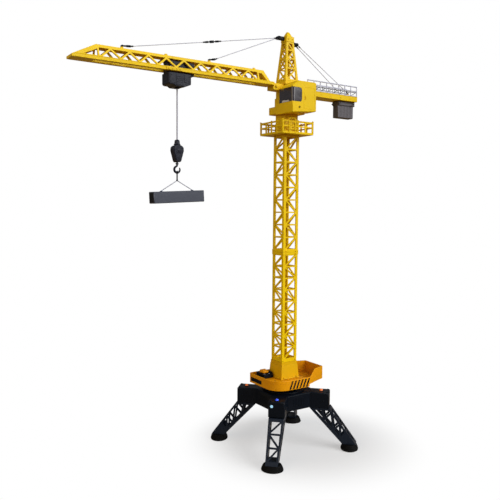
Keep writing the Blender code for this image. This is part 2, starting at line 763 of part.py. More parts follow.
def jib_section(start, end):
    """One length of the jib: a tapered box with zigzag windows in both sides and a slot for the trolley."""
    body = slab([jib_profile(0)], start, end, "X")
    room_half, top_half, room_top = 0.018, 0.0095, 1.1455
    inside = [(-room_half, LEDGE_Z), (room_half, LEDGE_Z), (top_half, room_top), (-top_half, room_top)]
    room = slab([inside], -0.612, -0.112, "X")
    slot = box((-0.612, -SLOT_HALF, JIB_LOW - 0.01), (-0.112, SLOT_HALF, LEDGE_Z + 0.001))
    ends = (-0.6015, -0.1215)
    windows = zigzag_windows(JIB_FIRST_BAY, JIB_BAY, JIB_BAYS, CHORD_TOP, TOP_CHORD_LOW, 0.0048, ends)
    tip_window = [(-0.642, CHORD_TOP + 0.001), (-0.606, CHORD_TOP + 0.001), (-0.606, 1.1365)]
    root_window = [(-0.117, CHORD_TOP), (-0.090, CHORD_TOP), (-0.105, 1.1385), (-0.117, 1.1385)]
    through = slab([*windows, tip_window, root_window], -0.04, 0.04, "Y")
    past_tip, tip_end, past_root, above = -0.70, -0.608, -0.05, 1.2
    tip_slope = [
        (past_tip, 1.1155),
        (-JIB_REACH, 1.1155),
        (tip_end, JIB_HIGH),
        (tip_end, above),
        (past_tip, above),
    ]
    root_slope = [
        (-0.098, JIB_HIGH),
        (-0.079, CHORD_TOP),
        (past_root, CHORD_TOP),
        (past_root, above),
        (-0.098, above),
    ]
    slopes = slab([tip_slope, root_slope], -0.04, 0.04, "Y")
    return cut(body, room, slot, through, slopes)


def jib_lug(x):
    post = box((x - 0.004, -0.003, JIB_HIGH - 0.001), (x + 0.004, 0.003, JIB_HIGH + 0.0065))
    return eased(post, 0.001)


def jib_inner():
    section = jib_section(JIB_SPLIT, JIB_ROOT)
    plates = []
    for side in (-1, 1):
        low_y, high_y = sorted((side * 0.0215, side * 0.0238))
        plates.append(box((JIB_SPLIT, low_y, 1.110), (-0.372, high_y, 1.1172)))
        low_y, high_y = sorted((side * (JIB_HALF + GAP), side * 0.0238))
        plates.append(box((-0.418, low_y, 1.110), (JIB_SPLIT + 0.001, high_y, 1.1172)))
    return joined(section, *plates, jib_lug(INNER_LUG), jib_lug(SPARE_LUGS[1]))


def jib_outer():
    return joined(jib_section(-JIB_REACH, JIB_SPLIT - GAP), jib_lug(OUTER_LUG), jib_lug(SPARE_LUGS[0]))


# ---------------------------------------------------------------- ties
FRONT_PIN = Vector((-0.0360, 0, 1.2555))
REAR_PIN = Vector((0.0330, 0, 1.2440))
OUTER_TIE_END = Vector((OUTER_LUG + 0.024, 0, 1.1595))
INNER_TIE_END = Vector((INNER_LUG + 0.019, 0, 1.1615))
CONNECTOR_AT, CONNECTOR_LENGTH = 0.477, 0.044


def tie_clevis(pin, direction):
    """A forked black fitting on the tower head, reaching from the head to the ties' pin."""
    root_x = direction * (0.0148 + GAP)
    low_x, high_x = sorted((root_x, pin.x - direction * 0.001))
    arm = eased(box((low_x, -0.0045, pin.z - 0.0055), (high_x, 0.0045, pin.z + 0.0055)), 0.0012)
    eye = rod((pin.x, -0.0065, pin.z), (pin.x, 0.0065, pin.z), 0.0052, 14)
    return joined(arm, eye)


def jib_clevis(lug_x, tie_end):
    """A black fitting from a lug on the jib to the end of a tie."""
    foot = Vector((lug_x, 0, JIB_HIGH + 0.0065 + GAP + 0.0022))
    barrel = rod((lug_x, -0.0045, foot.z), (lug_x, 0.0045, foot.z), 0.0022, 10)
    arm = rod(foot, tie_end, 0.0022, 8)
    socket_start = foot.lerp(tie_end, 0.55)
    return joined(barrel, arm, rod(socket_start, tie_end, 0.0030, 10))


def tie_rod(start, end, radius=0.0011):
    """A taut tie, stopping just short of both ends."""
    along = (end - start).normalized() * GAP
    return rod(start + along, end - along, radius, 8)


def tie_ends(clevis_pin, side_y, far_end):
    """A tie's start at the rim of the head fitting's eye, on the way to far_end."""
    start = Vector((clevis_pin.x, side_y, clevis_pin.z))
    return start + (far_end - start).normalized() * 0.0058


LONG_START = tie_ends(FRONT_PIN, 0.0025, OUTER_TIE_END)
SHORT_START = tie_ends(FRONT_PIN, -0.0025, INNER_TIE_END)


def connector():
    half = CONNECTOR_LENGTH / 2 / (OUTER_TIE_END - LONG_START).length
    a = LONG_START.lerp(OUTER_TIE_END, CONNECTOR_AT - half)
    b = LONG_START.lerp(OUTER_TIE_END, CONNECTOR_AT + half)
    knobs = [
        rod(a.lerp(b, start), a.lerp(b, end), radius, 10)
        for start, end, radius in ((0, 0.24, 0.0028), (0.38, 0.66, 0.0036), (0.78, 1, 0.0028))
    ]
    return joined(rod(a, b, 0.0016, 8), *knobs), a, b


# ---------------------------------------------------------------- counter-jib
def counter_jib():
    deck = box((DECK_START, -DECK_HALF, DECK_LOW), (REAR_REACH, DECK_HALF, DECK_HIGH))
    cab_room = box((0, -0.1, 1.0), (CAB_REAR + GAP, CAB_INNER + GAP, 1.2))
    lugs = []
    for y in (-0.0165, 0.0165):
        low = (REAR_TIE_X - 0.004, y - 0.002, DECK_HIGH - 0.001)
        high = (REAR_TIE_X + 0.004, y + 0.002, DECK_HIGH + 0.009)
        lugs.append(box(low, high))
    pocket = box((0.056, -0.0125, DECK_HIGH - 0.004), (0.205, 0.0125, DECK_HIGH + 0.01))
    return joined(cut(deck, cab_room, pocket), *lugs)


def railing(side):
    start, end, low, high = 0.058, REAR_REACH - 0.001, DECK_HIGH + GAP, 1.1405
    middle = side * (DECK_HALF - 0.0016)
    openings = rail_openings(start, end, low + 0.0026, high, 8, 0.0026, 0.0026)
    return slab([rectangle(start, end, low, high), *openings], middle - 0.0012, middle + 0.0012, "Y")


def counterweight():
    """A grooved ballast block with a wider flange that hangs below the counter-jib."""
    left, right, half = 0.1965, 0.2635, 0.0125
    flange = eased(box((left - 0.0005, -0.0155, 1.0765), (right + 0.0040, 0.0155, DECK_LOW - GAP)), 0.0015)
    body = eased(box((left, -half, 1.0375), (right, half, 1.0775)), 0.0015)
    grooves = []
    for i in range(1, 5):
        x = left + (right - left) * i / 5
        for side in (-1, 1):
            low = (x - 0.0006, side * half - 0.0008, 1.03)
            high = (x + 0.0006, side * half + 0.0008, 1.0750)
            grooves.append(box(low, high))
    return cut(joined(flange, body), *grooves)


# ---------------------------------------------------------------- trolley
def trolley_frame():
    """The trolley: a hollow case below the jib and a narrow carriage that runs inside it."""
    x, half = TROLLEY_X, TROLLEY_HALF
    outline = [
        (x - half, 1.0755),
        (x - half + 0.004, 1.0725),
        (x - 0.018, 1.0725),
        (x - 0.013, CASE_LOW),
        (x + 0.010, CASE_LOW),
        (x + half, 1.0765),
        (x + half, CASE_HIGH),
        (x - half, CASE_HIGH),
    ]
    case = eased(slab([outline], -0.0215, 0.0215, "Y"), 0.0018)
    start, end = CARRIAGE_X - CARRIAGE_HALF, CARRIAGE_X + CARRIAGE_HALF
    carriage = box((start, -0.0098, CASE_HIGH - 0.002), (end, 0.0098, 1.1375))
    room = box((x - 0.0275, -0.0175, 1.0775), (x + 0.0275, 0.0175, CASE_HIGH - 0.003))
    rope_hole = rod((ROPE_X, 0, 1.05), (ROPE_X, 0, 1.08), 0.0032, 12)
    side_hatch = box((x - 0.020, 0.010, 1.0795), (x + 0.020, 0.03, CASE_HIGH - 0.009))
    bores = [rod((wheel_x, -0.02, AXLE_Z), (wheel_x, 0.02, AXLE_Z), 0.0022, 10) for wheel_x in WHEEL_PLACES]
    return cut(joined(case, carriage), room, rope_hole, side_hatch, *bores)


def wheelset(x):
    wheels = [rod((x, side * 0.0114, AXLE_Z), (x, side * 0.0148, AXLE_Z), WHEEL_RADIUS, 16) for side in (-1, 1)]
    return joined(rod((x, -0.0120, AXLE_Z), (x, 0.0120, AXLE_Z), 0.0015, 10), *wheels)


def hoist_drum():
    x = DRUM_X
    barrel = rod((x, -0.0135, DRUM_Z), (x, 0.0135, DRUM_Z), DRUM_RADIUS - ROPE_RADIUS - GAP, 18)
    flanges = [rod((x, side * 0.0115, DRUM_Z), (x, side * 0.0140, DRUM_Z), DRUM_RADIUS, 18) for side in (-1, 1)]
    return joined(barrel, *flanges)


def hoist_rope():
    return rod((ROPE_X, 0, BLOCK_TOP + GAP), (ROPE_X, 0, DRUM_Z), ROPE_RADIUS, 8)


# ---------------------------------------------------------------- hook and load
def hook_block():
    """A shouldered block that tapers to the hook's swivel."""
    x = ROPE_X
    outline = [
        (x - 0.0155, 0.9075), (x - 0.0165, 0.8980), (x - 0.0085, 0.8700), (x - 0.0060, BLOCK_BOTTOM),
        (x + 0.0060, BLOCK_BOTTOM), (x + 0.0085, 0.8700), (x + 0.0165, 0.8980), (x + 0.0155, 0.9075),
        (x + 0.0085, 0.9125), (x - 0.0085, 0.9125),
    ]
    body = eased(slab([outline], -0.0105, 0.0105, "Y"), 0.0015)
    cap = rod((x, 0, 0.911), (x, 0, BLOCK_TOP), 0.0085, 14, 0.0070)
    socket = rod((x, 0, BLOCK_BOTTOM - 0.01), (x, 0, BLOCK_BOTTOM + 0.006), 0.0034, 14)
    return cut(joined(body, cap), socket)


def hook():
    x = ROPE_X
    bend = [
        (x + HOOK_RING * math.sin(math.radians(a)), 0, HOOK_Z + HOOK_RING * math.cos(math.radians(a)))
        for a in range(-20, -306, -19)
    ]
    wire = tube([(x, 0, HOOK_Z + 0.0135), (x, 0, HOOK_Z + 0.0105), *bend], HOOK_WIRE, 2)
    shank = rod((x, 0, HOOK_Z + 0.0095), (x, 0, BLOCK_BOTTOM + 0.005), HOOK_WIRE, 12)
    return joined(wire, shank)


def load_matrix():
    centre = Vector((ROPE_X, 0, LOAD_Z))
    return Matrix.Translation(centre) @ Matrix.Rotation(-LOAD_TILT, 4, "Y")


def load_beam():
    half, side = LOAD_LENGTH / 2, LOAD_SIDE / 2
    beam = eased(box((-half, -side, -side), (half, side, side)), 0.0015)
    return moved(beam, load_matrix())


def load_sling():
    """A ring round the hook's bend, a short link and two legs down to the load."""
    ring_z = HOOK_Z - HOOK_RING
    ring_radius, wire = 0.0046, 0.0010
    turns = [2 * math.pi * i / 16 for i in range(17)]
    ring = [(ROPE_X, ring_radius * math.sin(a), ring_z - ring_radius * math.cos(a)) for a in turns]
    loop = tube(ring, wire, 1)
    link = rod((ROPE_X, 0, ring_z - ring_radius), (ROPE_X, 0, SLING_APEX - 0.001), 0.0018, 8)
    legs = []
    for side in (-1, 1):
        shoe = load_matrix() @ Vector((side * SLING_SPREAD, 0, LOAD_SIDE / 2 + GAP + 0.0010))
        legs.append(rod((ROPE_X, 0, SLING_APEX), shoe, 0.0011, 8))
    return joined(link, loop, *legs)


# ---------------------------------------------------------------- assembly
tower = empty("tower_axis", (TOWER_X, 0, PAD_DEPTH))
slewing = empty("slewing_axis", (0, 0, TRAY_LOW), tower)
trolley = empty("trolley_centre", (TROLLEY_X, 0, LEDGE_Z - TRAY_LOW), slewing)
hook_line = empty("hook_line", (ROPE_X - TROLLEY_X, 0, BLOCK_BOTTOM - LEDGE_Z), trolley)

part("base_housing", base_housing(), "black_plastic", tower)
part("base_bottom_cover", base_bottom_cover(), "black_plastic", tower)
part("battery_cover", battery_cover(), "black_plastic", tower)
switch = eased(box((-0.009, HOUSING_HALF - 0.0017, 0.1465), (-0.003, HOUSING_HALF + 0.0012, 0.1535)), 0.0006)
part("power_switch", switch, "grey_plastic", tower, (-0.006, HOUSING_HALF, 0.15))
for leg_name, turn in LEG_TURNS.items():
    part(leg_name, moved(leg(), about_tower(turn)), "black_plastic", tower)
    part(leg_name.replace("leg", "foot"), moved(foot(), about_tower(turn)), "black_rubber", tower)
for light, turn, lens, reach in (
    ("amber_light_left", LEG_TURNS["leg_left"], "amber_lens", AMBER_RADIUS),
    ("amber_light_right", LEG_TURNS["leg_right"], "amber_lens", AMBER_RADIUS),
    ("blue_light_front", LEG_TURNS["leg_front"], "blue_lens", BLUE_RADIUS),
):
    bulb = dome(0.0048, 0.0062, (reach, 0, HOUSING_HIGH + 0.0015 + GAP))
    part(light, moved(bulb, about_tower(turn)), lens, tower)
eye_start, eye_end = (ARM_REACH + GAP, -0.014, 0.1600), (ARM_REACH + 0.0022, -0.014, 0.1600)
eye = moved(rod(eye_start, eye_end, 0.0052, 16, 0.0042), about_tower(LEG_TURNS["leg_front"]))
part("front_lens", eye, "pale_lens", tower)
part("slew_ring", slew_ring(), "black_plastic", tower)

part("turntable_tray", turntable_tray(), "orange_plastic", slewing)
part("slew_motor", slew_motor(), "black_plastic", slewing)
part("slew_gear_cover", slew_gear_cover(), "orange_plastic", slewing)
part("slew_pinion", slew_pinion(), "grey_plastic", slewing, (PINION_X, PINION_Y, RING_LOW))
part("pedestal", pedestal(), "yellow_plastic", slewing)
part("mast_lower", mast_lower(), "yellow_plastic", slewing)
part("mast_upper", mast_upper(), "yellow_plastic", slewing)
part("gallery", gallery(), "yellow_plastic", slewing)
part("neck", neck(), "yellow_plastic", slewing)
part("house", house(), "yellow_plastic", slewing)
part("cathead", cathead(), "yellow_plastic", slewing)
part("cab_shell", cab_shell(), "yellow_plastic", slewing)
part("cab_front_window", cab_front_window(), "dark_glass", slewing)
part("cab_side_window", cab_side_window(), "dark_glass", slewing)
part("cab_seat", cab_seat(), "seat_plastic", slewing)
part("jib_root", jib_root(), "yellow_plastic", slewing)
part("jib_inner", jib_inner(), "yellow_plastic", slewing)
part("jib_outer", jib_outer(), "yellow_plastic", slewing)
part("front_tie_fitting", tie_clevis(FRONT_PIN, -1), "black_plastic", slewing)
part("rear_tie_fitting", tie_clevis(REAR_PIN, 1), "black_plastic", slewing)
part("outer_tie_clevis", jib_clevis(OUTER_LUG, OUTER_TIE_END), "black_plastic", slewing)
part("inner_tie_clevis", jib_clevis(INNER_LUG, INNER_TIE_END), "black_plastic", slewing)
turnbuckle, buckle_start, buckle_end = connector()
part("tie_connector", turnbuckle, "black_plastic", slewing)
part("front_tie_upper", tie_rod(LONG_START, buckle_start), "tie_wire", slewing)
part("front_tie_outer", tie_rod(buckle_end, OUTER_TIE_END), "tie_wire", slewing)
part("front_tie_inner", tie_rod(SHORT_START, INNER_TIE_END), "tie_wire", slewing)
for tie_name, side in (("rear_tie_near", -1), ("rear_tie_far", 1)):
    lug_top = Vector((REAR_TIE_X, side * 0.0165, DECK_HIGH + 0.009 + 0.0012))
    tie_start = tie_ends(REAR_PIN, side * 0.0045, lug_top)
    part(tie_name, tie_rod(tie_start, lug_top), "tie_wire", slewing)
part("counter_jib", counter_jib(), "yellow_plastic", slewing)
part("railing_near", railing(-1), "grey_plastic", slewing)
part("railing_far", railing(1), "grey_plastic", slewing)
part("counterweight", counterweight(), "ballast_plastic", slewing)

part("trolley_frame", trolley_frame(), "black_plastic", trolley, (TROLLEY_X, 0, LEDGE_Z))
for wheel_name, wheel_x in zip(("wheelset_outer", "wheelset_inner"), WHEEL_PLACES):
    part(wheel_name, wheelset(wheel_x), "grey_plastic", trolley, (wheel_x, 0, AXLE_Z))
part("hoist_drum", hoist_drum(), "grey_plastic", trolley, (DRUM_X, 0, DRUM_Z))
part("hoist_rope", hoist_rope(), "grey_cord", trolley, (ROPE_X, 0, DRUM_Z))

part("hook_block", hook_block(), "black_plastic", hook_line, (ROPE_X, 0, BLOCK_BOTTOM))
part("hook", hook(), "black_plastic", hook_line, (ROPE_X, 0, BLOCK_BOTTOM))
sling_pivot = (ROPE_X, 0, HOOK_Z - HOOK_RING)
part("load_sling", load_sling(), "tie_wire", hook_line, sling_pivot)
part("load_beam", load_beam(), "slate_plastic", hook_line, sling_pivot)
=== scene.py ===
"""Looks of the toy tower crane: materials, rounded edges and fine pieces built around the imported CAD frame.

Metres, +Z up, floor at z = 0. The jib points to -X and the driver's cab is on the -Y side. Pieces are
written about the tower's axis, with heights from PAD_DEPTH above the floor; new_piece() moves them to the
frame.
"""
import math

import bmesh
import bpy
from mathutils import Matrix, Vector


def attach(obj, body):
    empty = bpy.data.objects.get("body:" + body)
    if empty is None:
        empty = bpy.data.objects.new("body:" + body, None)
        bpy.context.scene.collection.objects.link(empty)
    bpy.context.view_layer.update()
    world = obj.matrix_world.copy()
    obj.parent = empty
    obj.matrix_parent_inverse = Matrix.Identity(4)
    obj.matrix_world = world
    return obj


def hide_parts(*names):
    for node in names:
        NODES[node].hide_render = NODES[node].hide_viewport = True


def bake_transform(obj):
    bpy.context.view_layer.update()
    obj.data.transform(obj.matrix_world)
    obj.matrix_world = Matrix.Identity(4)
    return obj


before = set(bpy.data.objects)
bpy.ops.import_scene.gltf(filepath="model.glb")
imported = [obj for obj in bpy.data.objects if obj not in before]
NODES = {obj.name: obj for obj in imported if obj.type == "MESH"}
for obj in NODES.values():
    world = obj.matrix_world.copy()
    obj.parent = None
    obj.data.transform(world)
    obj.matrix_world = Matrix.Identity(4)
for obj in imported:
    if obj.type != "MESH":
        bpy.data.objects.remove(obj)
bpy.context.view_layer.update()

# -------- places shared with the CAD (metres)
TOWER_X = 0.202
PAD_DEPTH = 0.005
ROPE_X = -0.3755
HOOK_Z = 0.8467


# -------- camera, lights and floor
CAMERA_PLACE = (-0.95395, -1.5382, 0.74616)
CAMERA_HEADING, CAMERA_PITCH, CAMERA_ROLL = -33.657, 3.856, 0.456  # degrees left of +Y, down, anticlockwise
CAMERA_LENS, CAMERA_SENSOR = 44.42, 36.0
SUNS = {  # place, energy, softness in degrees, colour
    "key_light": ((1.3, -2.8, 1.85), 2.6, 46, (1.0, 0.985, 0.95)),
    "fill_light": ((-2.6, -0.8, 0.9), 1.12, 70, (1.0, 0.785, 0.55)),
}
STRIP_PLACE, STRIP_TARGET, STRIP_SIZE, STRIP_ENERGY = (-2.0, -1.2, 1.6), (0.15, 0, 0.6), (0.5, 2.0), 3.5
SKY, SKY_STRENGTH, WHITE = (0.96, 0.97, 1.0, 1), 0.17, (1, 1, 1, 1)
PAPER_HALF, PAPER = 40, (0.84, 0.865, 0.91, 1)
# The paper turns from lit grey near the tower to plain white: the grey pool round the base is painted shade,
# centred a little to +X of the tower.
POOL_CENTRE, POOL_START, POOL_END = (0.27, -0.01, 0), 0.15, 0.41
POOL_WHITE = 0.4  # share of plain white inside POOL_START, which rises to 1 at POOL_END
WARM_BOUNCE, BOUNCE_STRENGTH = (1.0, 0.66, 0.3, 1), 0.21  # what the paper's white lends to undersides


def make_camera():
    data = bpy.data.cameras.new("camera")
    data.sensor_width = CAMERA_SENSOR
    data.lens = CAMERA_LENS
    data.clip_start = 0.01
    camera = bpy.data.objects.new("camera", data)
    bpy.context.scene.collection.objects.link(camera)
    placing = Matrix.Translation(CAMERA_PLACE)
    for degrees, axis in ((CAMERA_HEADING, "Z"), (90 - CAMERA_PITCH, "X"), (CAMERA_ROLL, "Z")):
        placing = placing @ Matrix.Rotation(math.radians(degrees), 4, axis)
    camera.matrix_world = placing
    bpy.context.scene.camera = camera


def aimed(name, kind, place, target):
    """A light at place that shines towards target."""
    data = bpy.data.lights.new(name, kind)
    lamp = bpy.data.objects.new(name, data)
    bpy.context.scene.collection.objects.link(lamp)
    lamp.location = place
    lamp.rotation_euler = (Vector(target) - Vector(place)).to_track_quat("-Z", "Y").to_euler()
    return data


def make_lights():
    for name, (place, energy, softness, colour) in SUNS.items():
        sun = aimed(name, "SUN", place, (0, 0, 0))
        sun.energy, sun.angle, sun.color = energy, math.radians(softness), colour
    strip = aimed("strip_light", "AREA", STRIP_PLACE, STRIP_TARGET)
    strip.shape, strip.energy = "RECTANGLE", STRIP_ENERGY
    strip.size, strip.size_y = STRIP_SIZE


def make_world():
    """A dim sky for the object, which the camera sees as plain white."""
    world = bpy.data.worlds.new("studio")
    bpy.context.scene.world = world
    t = Tree(world)
    soft = t.tree.nodes["Background"]
    t.feed(soft.inputs["Color"], SKY)
    t.feed(soft.inputs["Strength"], SKY_STRENGTH)
    white = t.node("ShaderNodeBackground", {"Color": WHITE})
    seen = t.node("ShaderNodeLightPath").outputs["Is Camera Ray"]
    both = t.node("ShaderNodeMixShader", {0: seen, 1: soft.outputs[0], 2: white.outputs[0]})
    t.show(both, "World Output")


def paper():
    """Studio paper that takes shadows near the object and is plain white further out. Its fade from lit grey
    to white paints a pool of shade round the base.

    The white glows fully for the camera only. Everything else gets the weaker, warmer bounce.
    """
    s = Shader("studio_paper")
    distance = s.node("ShaderNodeVectorMath", {0: s.place, 1: POOL_CENTRE}, operation="DISTANCE")
    far = s.span(distance.outputs["Value"], POOL_START, POOL_END, POOL_WHITE, 1.0, "SMOOTHSTEP")
    seen = s.node("ShaderNodeLightPath").outputs["Is Camera Ray"]
    glow = s.span(seen, 0.0, 1.0, BOUNCE_STRENGTH, 1.0)
    bright = s.node("ShaderNodeEmission", {"Color": s.mix(seen, WARM_BOUNCE, WHITE), "Strength": glow})
    near = s.surface.outputs[0]
    s.show(s.node("ShaderNodeMixShader", {0: far, 1: near, 2: bright.outputs[0]}), "Material Output")
    return s.finish({"Base Color": PAPER, "Roughness": 0.6, "Specular IOR Level": 0.2})


def make_floor():
    mesh = bpy.data.meshes.new("floor")
    signs = ((-1, -1), (1, -1), (1, 1), (-1, 1))
    mesh.from_pydata([(a * PAPER_HALF, b * PAPER_HALF, 0) for a, b in signs], [], [(0, 1, 2, 3)])
    floor = bpy.data.objects.new("floor", mesh)
    bpy.context.scene.collection.objects.link(floor)
    mesh.materials.append(paper())


# -------- materials
class Tree:
    """The node tree of a world or a material, with short ways to add and join nodes."""

    def __init__(self, owner):
        owner.use_nodes = True
        self.tree = owner.node_tree

    def feed(self, socket, source):
        """Joins source to the socket, or sets the socket to it if it is a plain value."""
        if isinstance(source, bpy.types.NodeSocket):
            self.tree.links.new(source, socket)
        else:
            socket.default_value = source

    def node(self, kind, inputs=None, **settings):
        made = self.tree.nodes.new(kind)
        for key, value in settings.items():
            setattr(made, key, value)
        for key, source in (inputs or {}).items():
            self.feed(made.inputs[key], source)
        return made

    def show(self, shader, output):
        self.feed(self.tree.nodes[output].inputs["Surface"], shader.outputs[0])


class Shader(Tree):
    """A material's tree, with the patterns that the looks are made of."""

    def __init__(self, name):
        self.material = bpy.data.materials.new(name)
        super().__init__(self.material)
        self.surface = self.tree.nodes["Principled BSDF"]
        self.place = self.node("ShaderNodeTexCoord").outputs["Object"]

    def finish(self, inputs):
        for key, source in inputs.items():
            self.feed(self.surface.inputs[key], source)
        return self.material

    def noise(self, scale, detail=3.0, rough=0.55, stretch=None):
        place = self.place
        if stretch:
            place = self.node("ShaderNodeMapping", {"Scale": stretch, "Vector": place}).outputs["Vector"]
        inputs = {"Vector": place, "Scale": scale, "Detail": detail, "Roughness": rough}
        return self.node("ShaderNodeTexNoise", inputs).outputs["Fac"]

    def math(self, operation, a, b=0.0, clamp=False):
        return self.node("ShaderNodeMath", {0: a, 1: b}, operation=operation, use_clamp=clamp).outputs[0]

    def span(self, value, low, high, to_low=0.0, to_high=1.0, easing="LINEAR"):
        """Value stretched from low..high to to_low..to_high, and held inside it."""
        inputs = {"Value": value, "From Min": low, "From Max": high, "To Min": to_low, "To Max": to_high}
        return self.node("ShaderNodeMapRange", inputs, interpolation_type=easing).outputs["Result"]

    def mix(self, factor, a, b):
        return self.node("ShaderNodeMix", {0: factor, 6: a, 7: b}, data_type="RGBA").outputs[2]

    def crevices(self, reach):
        """1 in a tight corner, 0 in the open."""
        made = self.node("ShaderNodeAmbientOcclusion", {"Distance": reach}, samples=4)
        return self.math("SUBTRACT", 1.0, made.outputs["AO"], clamp=True)

    def edges(self, radius):
        """1 along a sharp outer or inner edge, 0 on a flat."""
        rounded = self.node("ShaderNodeBevel", {"Radius": radius}, samples=4).outputs["Normal"]
        flat = self.node("ShaderNodeNewGeometry").outputs["Normal"]
        dot = self.node("ShaderNodeVectorMath", {0: rounded, 1: flat}, operation="DOT_PRODUCT")
        return self.span(dot.outputs["Value"], 0.995, 0.86)

    def bump(self, height, depth, strength=1.0, under=None):
        inputs = {"Distance": depth, "Strength": strength, "Height": height}
        if under:
            inputs["Normal"] = under
        return self.node("ShaderNodeBump", inputs).outputs["Normal"]


def shade(colour, by):
    """The colour made lighter or darker, with an alpha of 1."""
    return tuple(c * by for c in colour) + (1.0,)


def moulded(name, colour, shadow, worn, rough, wear=0.5, gleam=0.5, reach=0.02):
    """Moulded plastic: cloudy pigment, painted shade in the corners, rubbed edges, faint scratches, satin
    skin.
    """
    s = Shader(name)
    cloud = s.noise(14.0, 4.0)
    speck = s.noise(260.0, 2.0)
    base = s.mix(s.span(cloud, 0.3, 0.7), shade(colour, 0.93), shade(colour, 1.05))
    base = s.mix(s.span(speck, 0.62, 0.8, 0.0, 0.35), base, shade(colour, 0.8))
    # Painted shade: corners and crevices within reach are darkened towards the shadow colour; the same mask
    # also makes them a little rougher.
    corner = s.span(s.crevices(reach), 0.25, 0.9, 0.0, 0.85)
    base = s.mix(corner, base, (*shadow, 1.0))
    broken = s.span(s.noise(90.0, 4.0, 0.7), 0.42, 0.6)
    rubbed = s.math("MULTIPLY", s.math("MULTIPLY", s.edges(0.0007), broken), wear)
    base = s.mix(rubbed, base, (*worn, 1.0))
    scratches = s.span(s.noise(40.0, 5.0, 0.8, (1.0, 1.0, 14.0)), 0.6, 0.72, 0.0, 0.16)
    gloss = s.span(s.noise(30.0, 3.0), 0.25, 0.75, rough - 0.06, rough + 0.08)
    gloss = s.math("ADD", gloss, scratches)
    gloss = s.math("ADD", gloss, s.math("MULTIPLY", corner, 0.15), clamp=True)
    skin = s.bump(s.noise(1500.0, 2.0), 0.00012)
    skin = s.bump(s.noise(70.0, 2.0), 0.0006, 0.25, skin)
    return s.finish({"Base Color": base, "Roughness": gloss, "Normal": skin, "Specular IOR Level": gleam})


def rubber(name, colour):
    """Moulded rubber: matt, dusty in patches, painted shade in the hollows, fine stipple."""
    s = Shader(name)
    dusty = s.span(s.noise(45.0, 5.0, 0.65), 0.45, 0.75, 0.0, 0.5)
    base = s.mix(dusty, shade(colour, 1.0), shade(colour, 2.6))
    # Painted shade: the hollows are darkened to 0.4 of the colour.
    base = s.mix(s.span(s.crevices(0.01), 0.2, 0.9, 0.0, 0.6), base, shade(colour, 0.4))
    matt = s.span(s.noise(80.0), 0.3, 0.7, 0.62, 0.82)
    stipple = s.bump(s.noise(1900.0, 3.0), 0.0003)
    return s.finish({"Base Color": base, "Roughness": matt, "Normal": stipple, "Specular IOR Level": 0.12})


def lens(name, colour, glow):
    """A coloured clear light cap with a cloudy core."""
    s = Shader(name)
    core = s.span(s.noise(160.0, 2.0), 0.3, 0.7)
    return s.finish({
        "Base Color": s.mix(core, shade(colour, 0.8), shade(colour, 1.1)),
        "Roughness": s.span(core, 0, 1, 0.08, 0.16),
        "Coat Weight": 0.6,
        "Emission Color": (*colour, 1),
        "Emission Strength": glow,
    })


def glazing(name, colour):
    """Smoked glossy glazing with faint smears."""
    s = Shader(name)
    smear = s.noise(24.0, 5.0, 0.7, (1.0, 1.0, 3.0))
    base = s.mix(s.span(smear, 0.35, 0.7), shade(colour, 0.75), shade(colour, 1.5))
    gloss = s.span(smear, 0.3, 0.75, 0.08, 0.24)
    return s.finish({"Base Color": base, "Roughness": gloss, "Coat Weight": 0.5, "Coat Roughness": 0.05})


def wire(name, colour, twist):
    """Fine twisted wire or braid: diagonal ridges round the strand, with painted highlight on the ridges and
    painted shade in the grooves.
    """
    s = Shader(name)
    inputs = {"Vector": s.place, "Scale": twist, "Distortion": 0.6}
    wave = s.node("ShaderNodeTexWave", inputs, wave_type="BANDS", bands_direction="DIAGONAL")
    ridge = wave.outputs["Fac"]
    # Painted shade and highlight: the colour follows the ridges, darker in the grooves and lighter on the
    # crests.
    base = s.mix(ridge, shade(colour, 0.62), shade(colour, 1.12))
    gloss = s.span(s.noise(120.0), 0.3, 0.7, 0.42, 0.6)
    return s.finish({"Base Color": base, "Roughness": gloss, "Normal": s.bump(ridge, 0.0003, 0.7)})


# The corners colour is painted shade, mixed into corners and crevices within the reach; orange's long reach
# spreads it deep into the tub.
PLASTICS = {  # colour, corners, rubbed edges, roughness, and where they differ wear, gleam and reach
    "yellow": ((0.86, 0.6, 0.002), (0.62, 0.25, 0.001), (0.86, 0.66, 0.05), 0.38, 0.35, 0.16),
    # golden is a darker, more orange copy of the yellow, given to the pedestal: painted shade for the light
    # falling off low on the tower.
    "golden": ((0.74, 0.435, 0.002), (0.48, 0.18, 0.001), (0.8, 0.56, 0.04), 0.38, 0.35, 0.16),
    "orange": ((0.78, 0.33, 0.002), (0.36, 0.11, 0.001), (0.86, 0.46, 0.03), 0.36, 0.35, 0.18, 0.075),
    "black": ((0.003, 0.0058, 0.0115), (0.001, 0.0012, 0.002), (0.04, 0.05, 0.065), 0.34, 0.5, 0.12),
    # leg is a lighter, bluer copy of the black, given to the legs: painted light that their sloped faces
    # catch.
    "leg": ((0.0075, 0.0135, 0.027), (0.002, 0.003, 0.006), (0.05, 0.06, 0.085), 0.34, 0.5, 0.17),
    "case": ((0.0125, 0.0155, 0.03), (0.003, 0.003, 0.004), (0.06, 0.06, 0.07), 0.38, 0.5, 0.2),
    "grey": ((0.53, 0.57, 0.74), (0.16, 0.16, 0.2), (0.8, 0.8, 0.82), 0.42),
    "ballast": ((0.092, 0.089, 0.112), (0.02, 0.019, 0.022), (0.2, 0.19, 0.2), 0.5),
    "slate": ((0.044, 0.055, 0.088), (0.01, 0.012, 0.018), (0.2, 0.22, 0.26), 0.44),
    "seat": ((0.62, 0.64, 0.68), (0.2, 0.2, 0.22), (0.8, 0.8, 0.82), 0.5),
}
MATERIALS = {f"{name}_plastic": moulded(f"{name}_plastic", *look) for name, look in PLASTICS.items()}
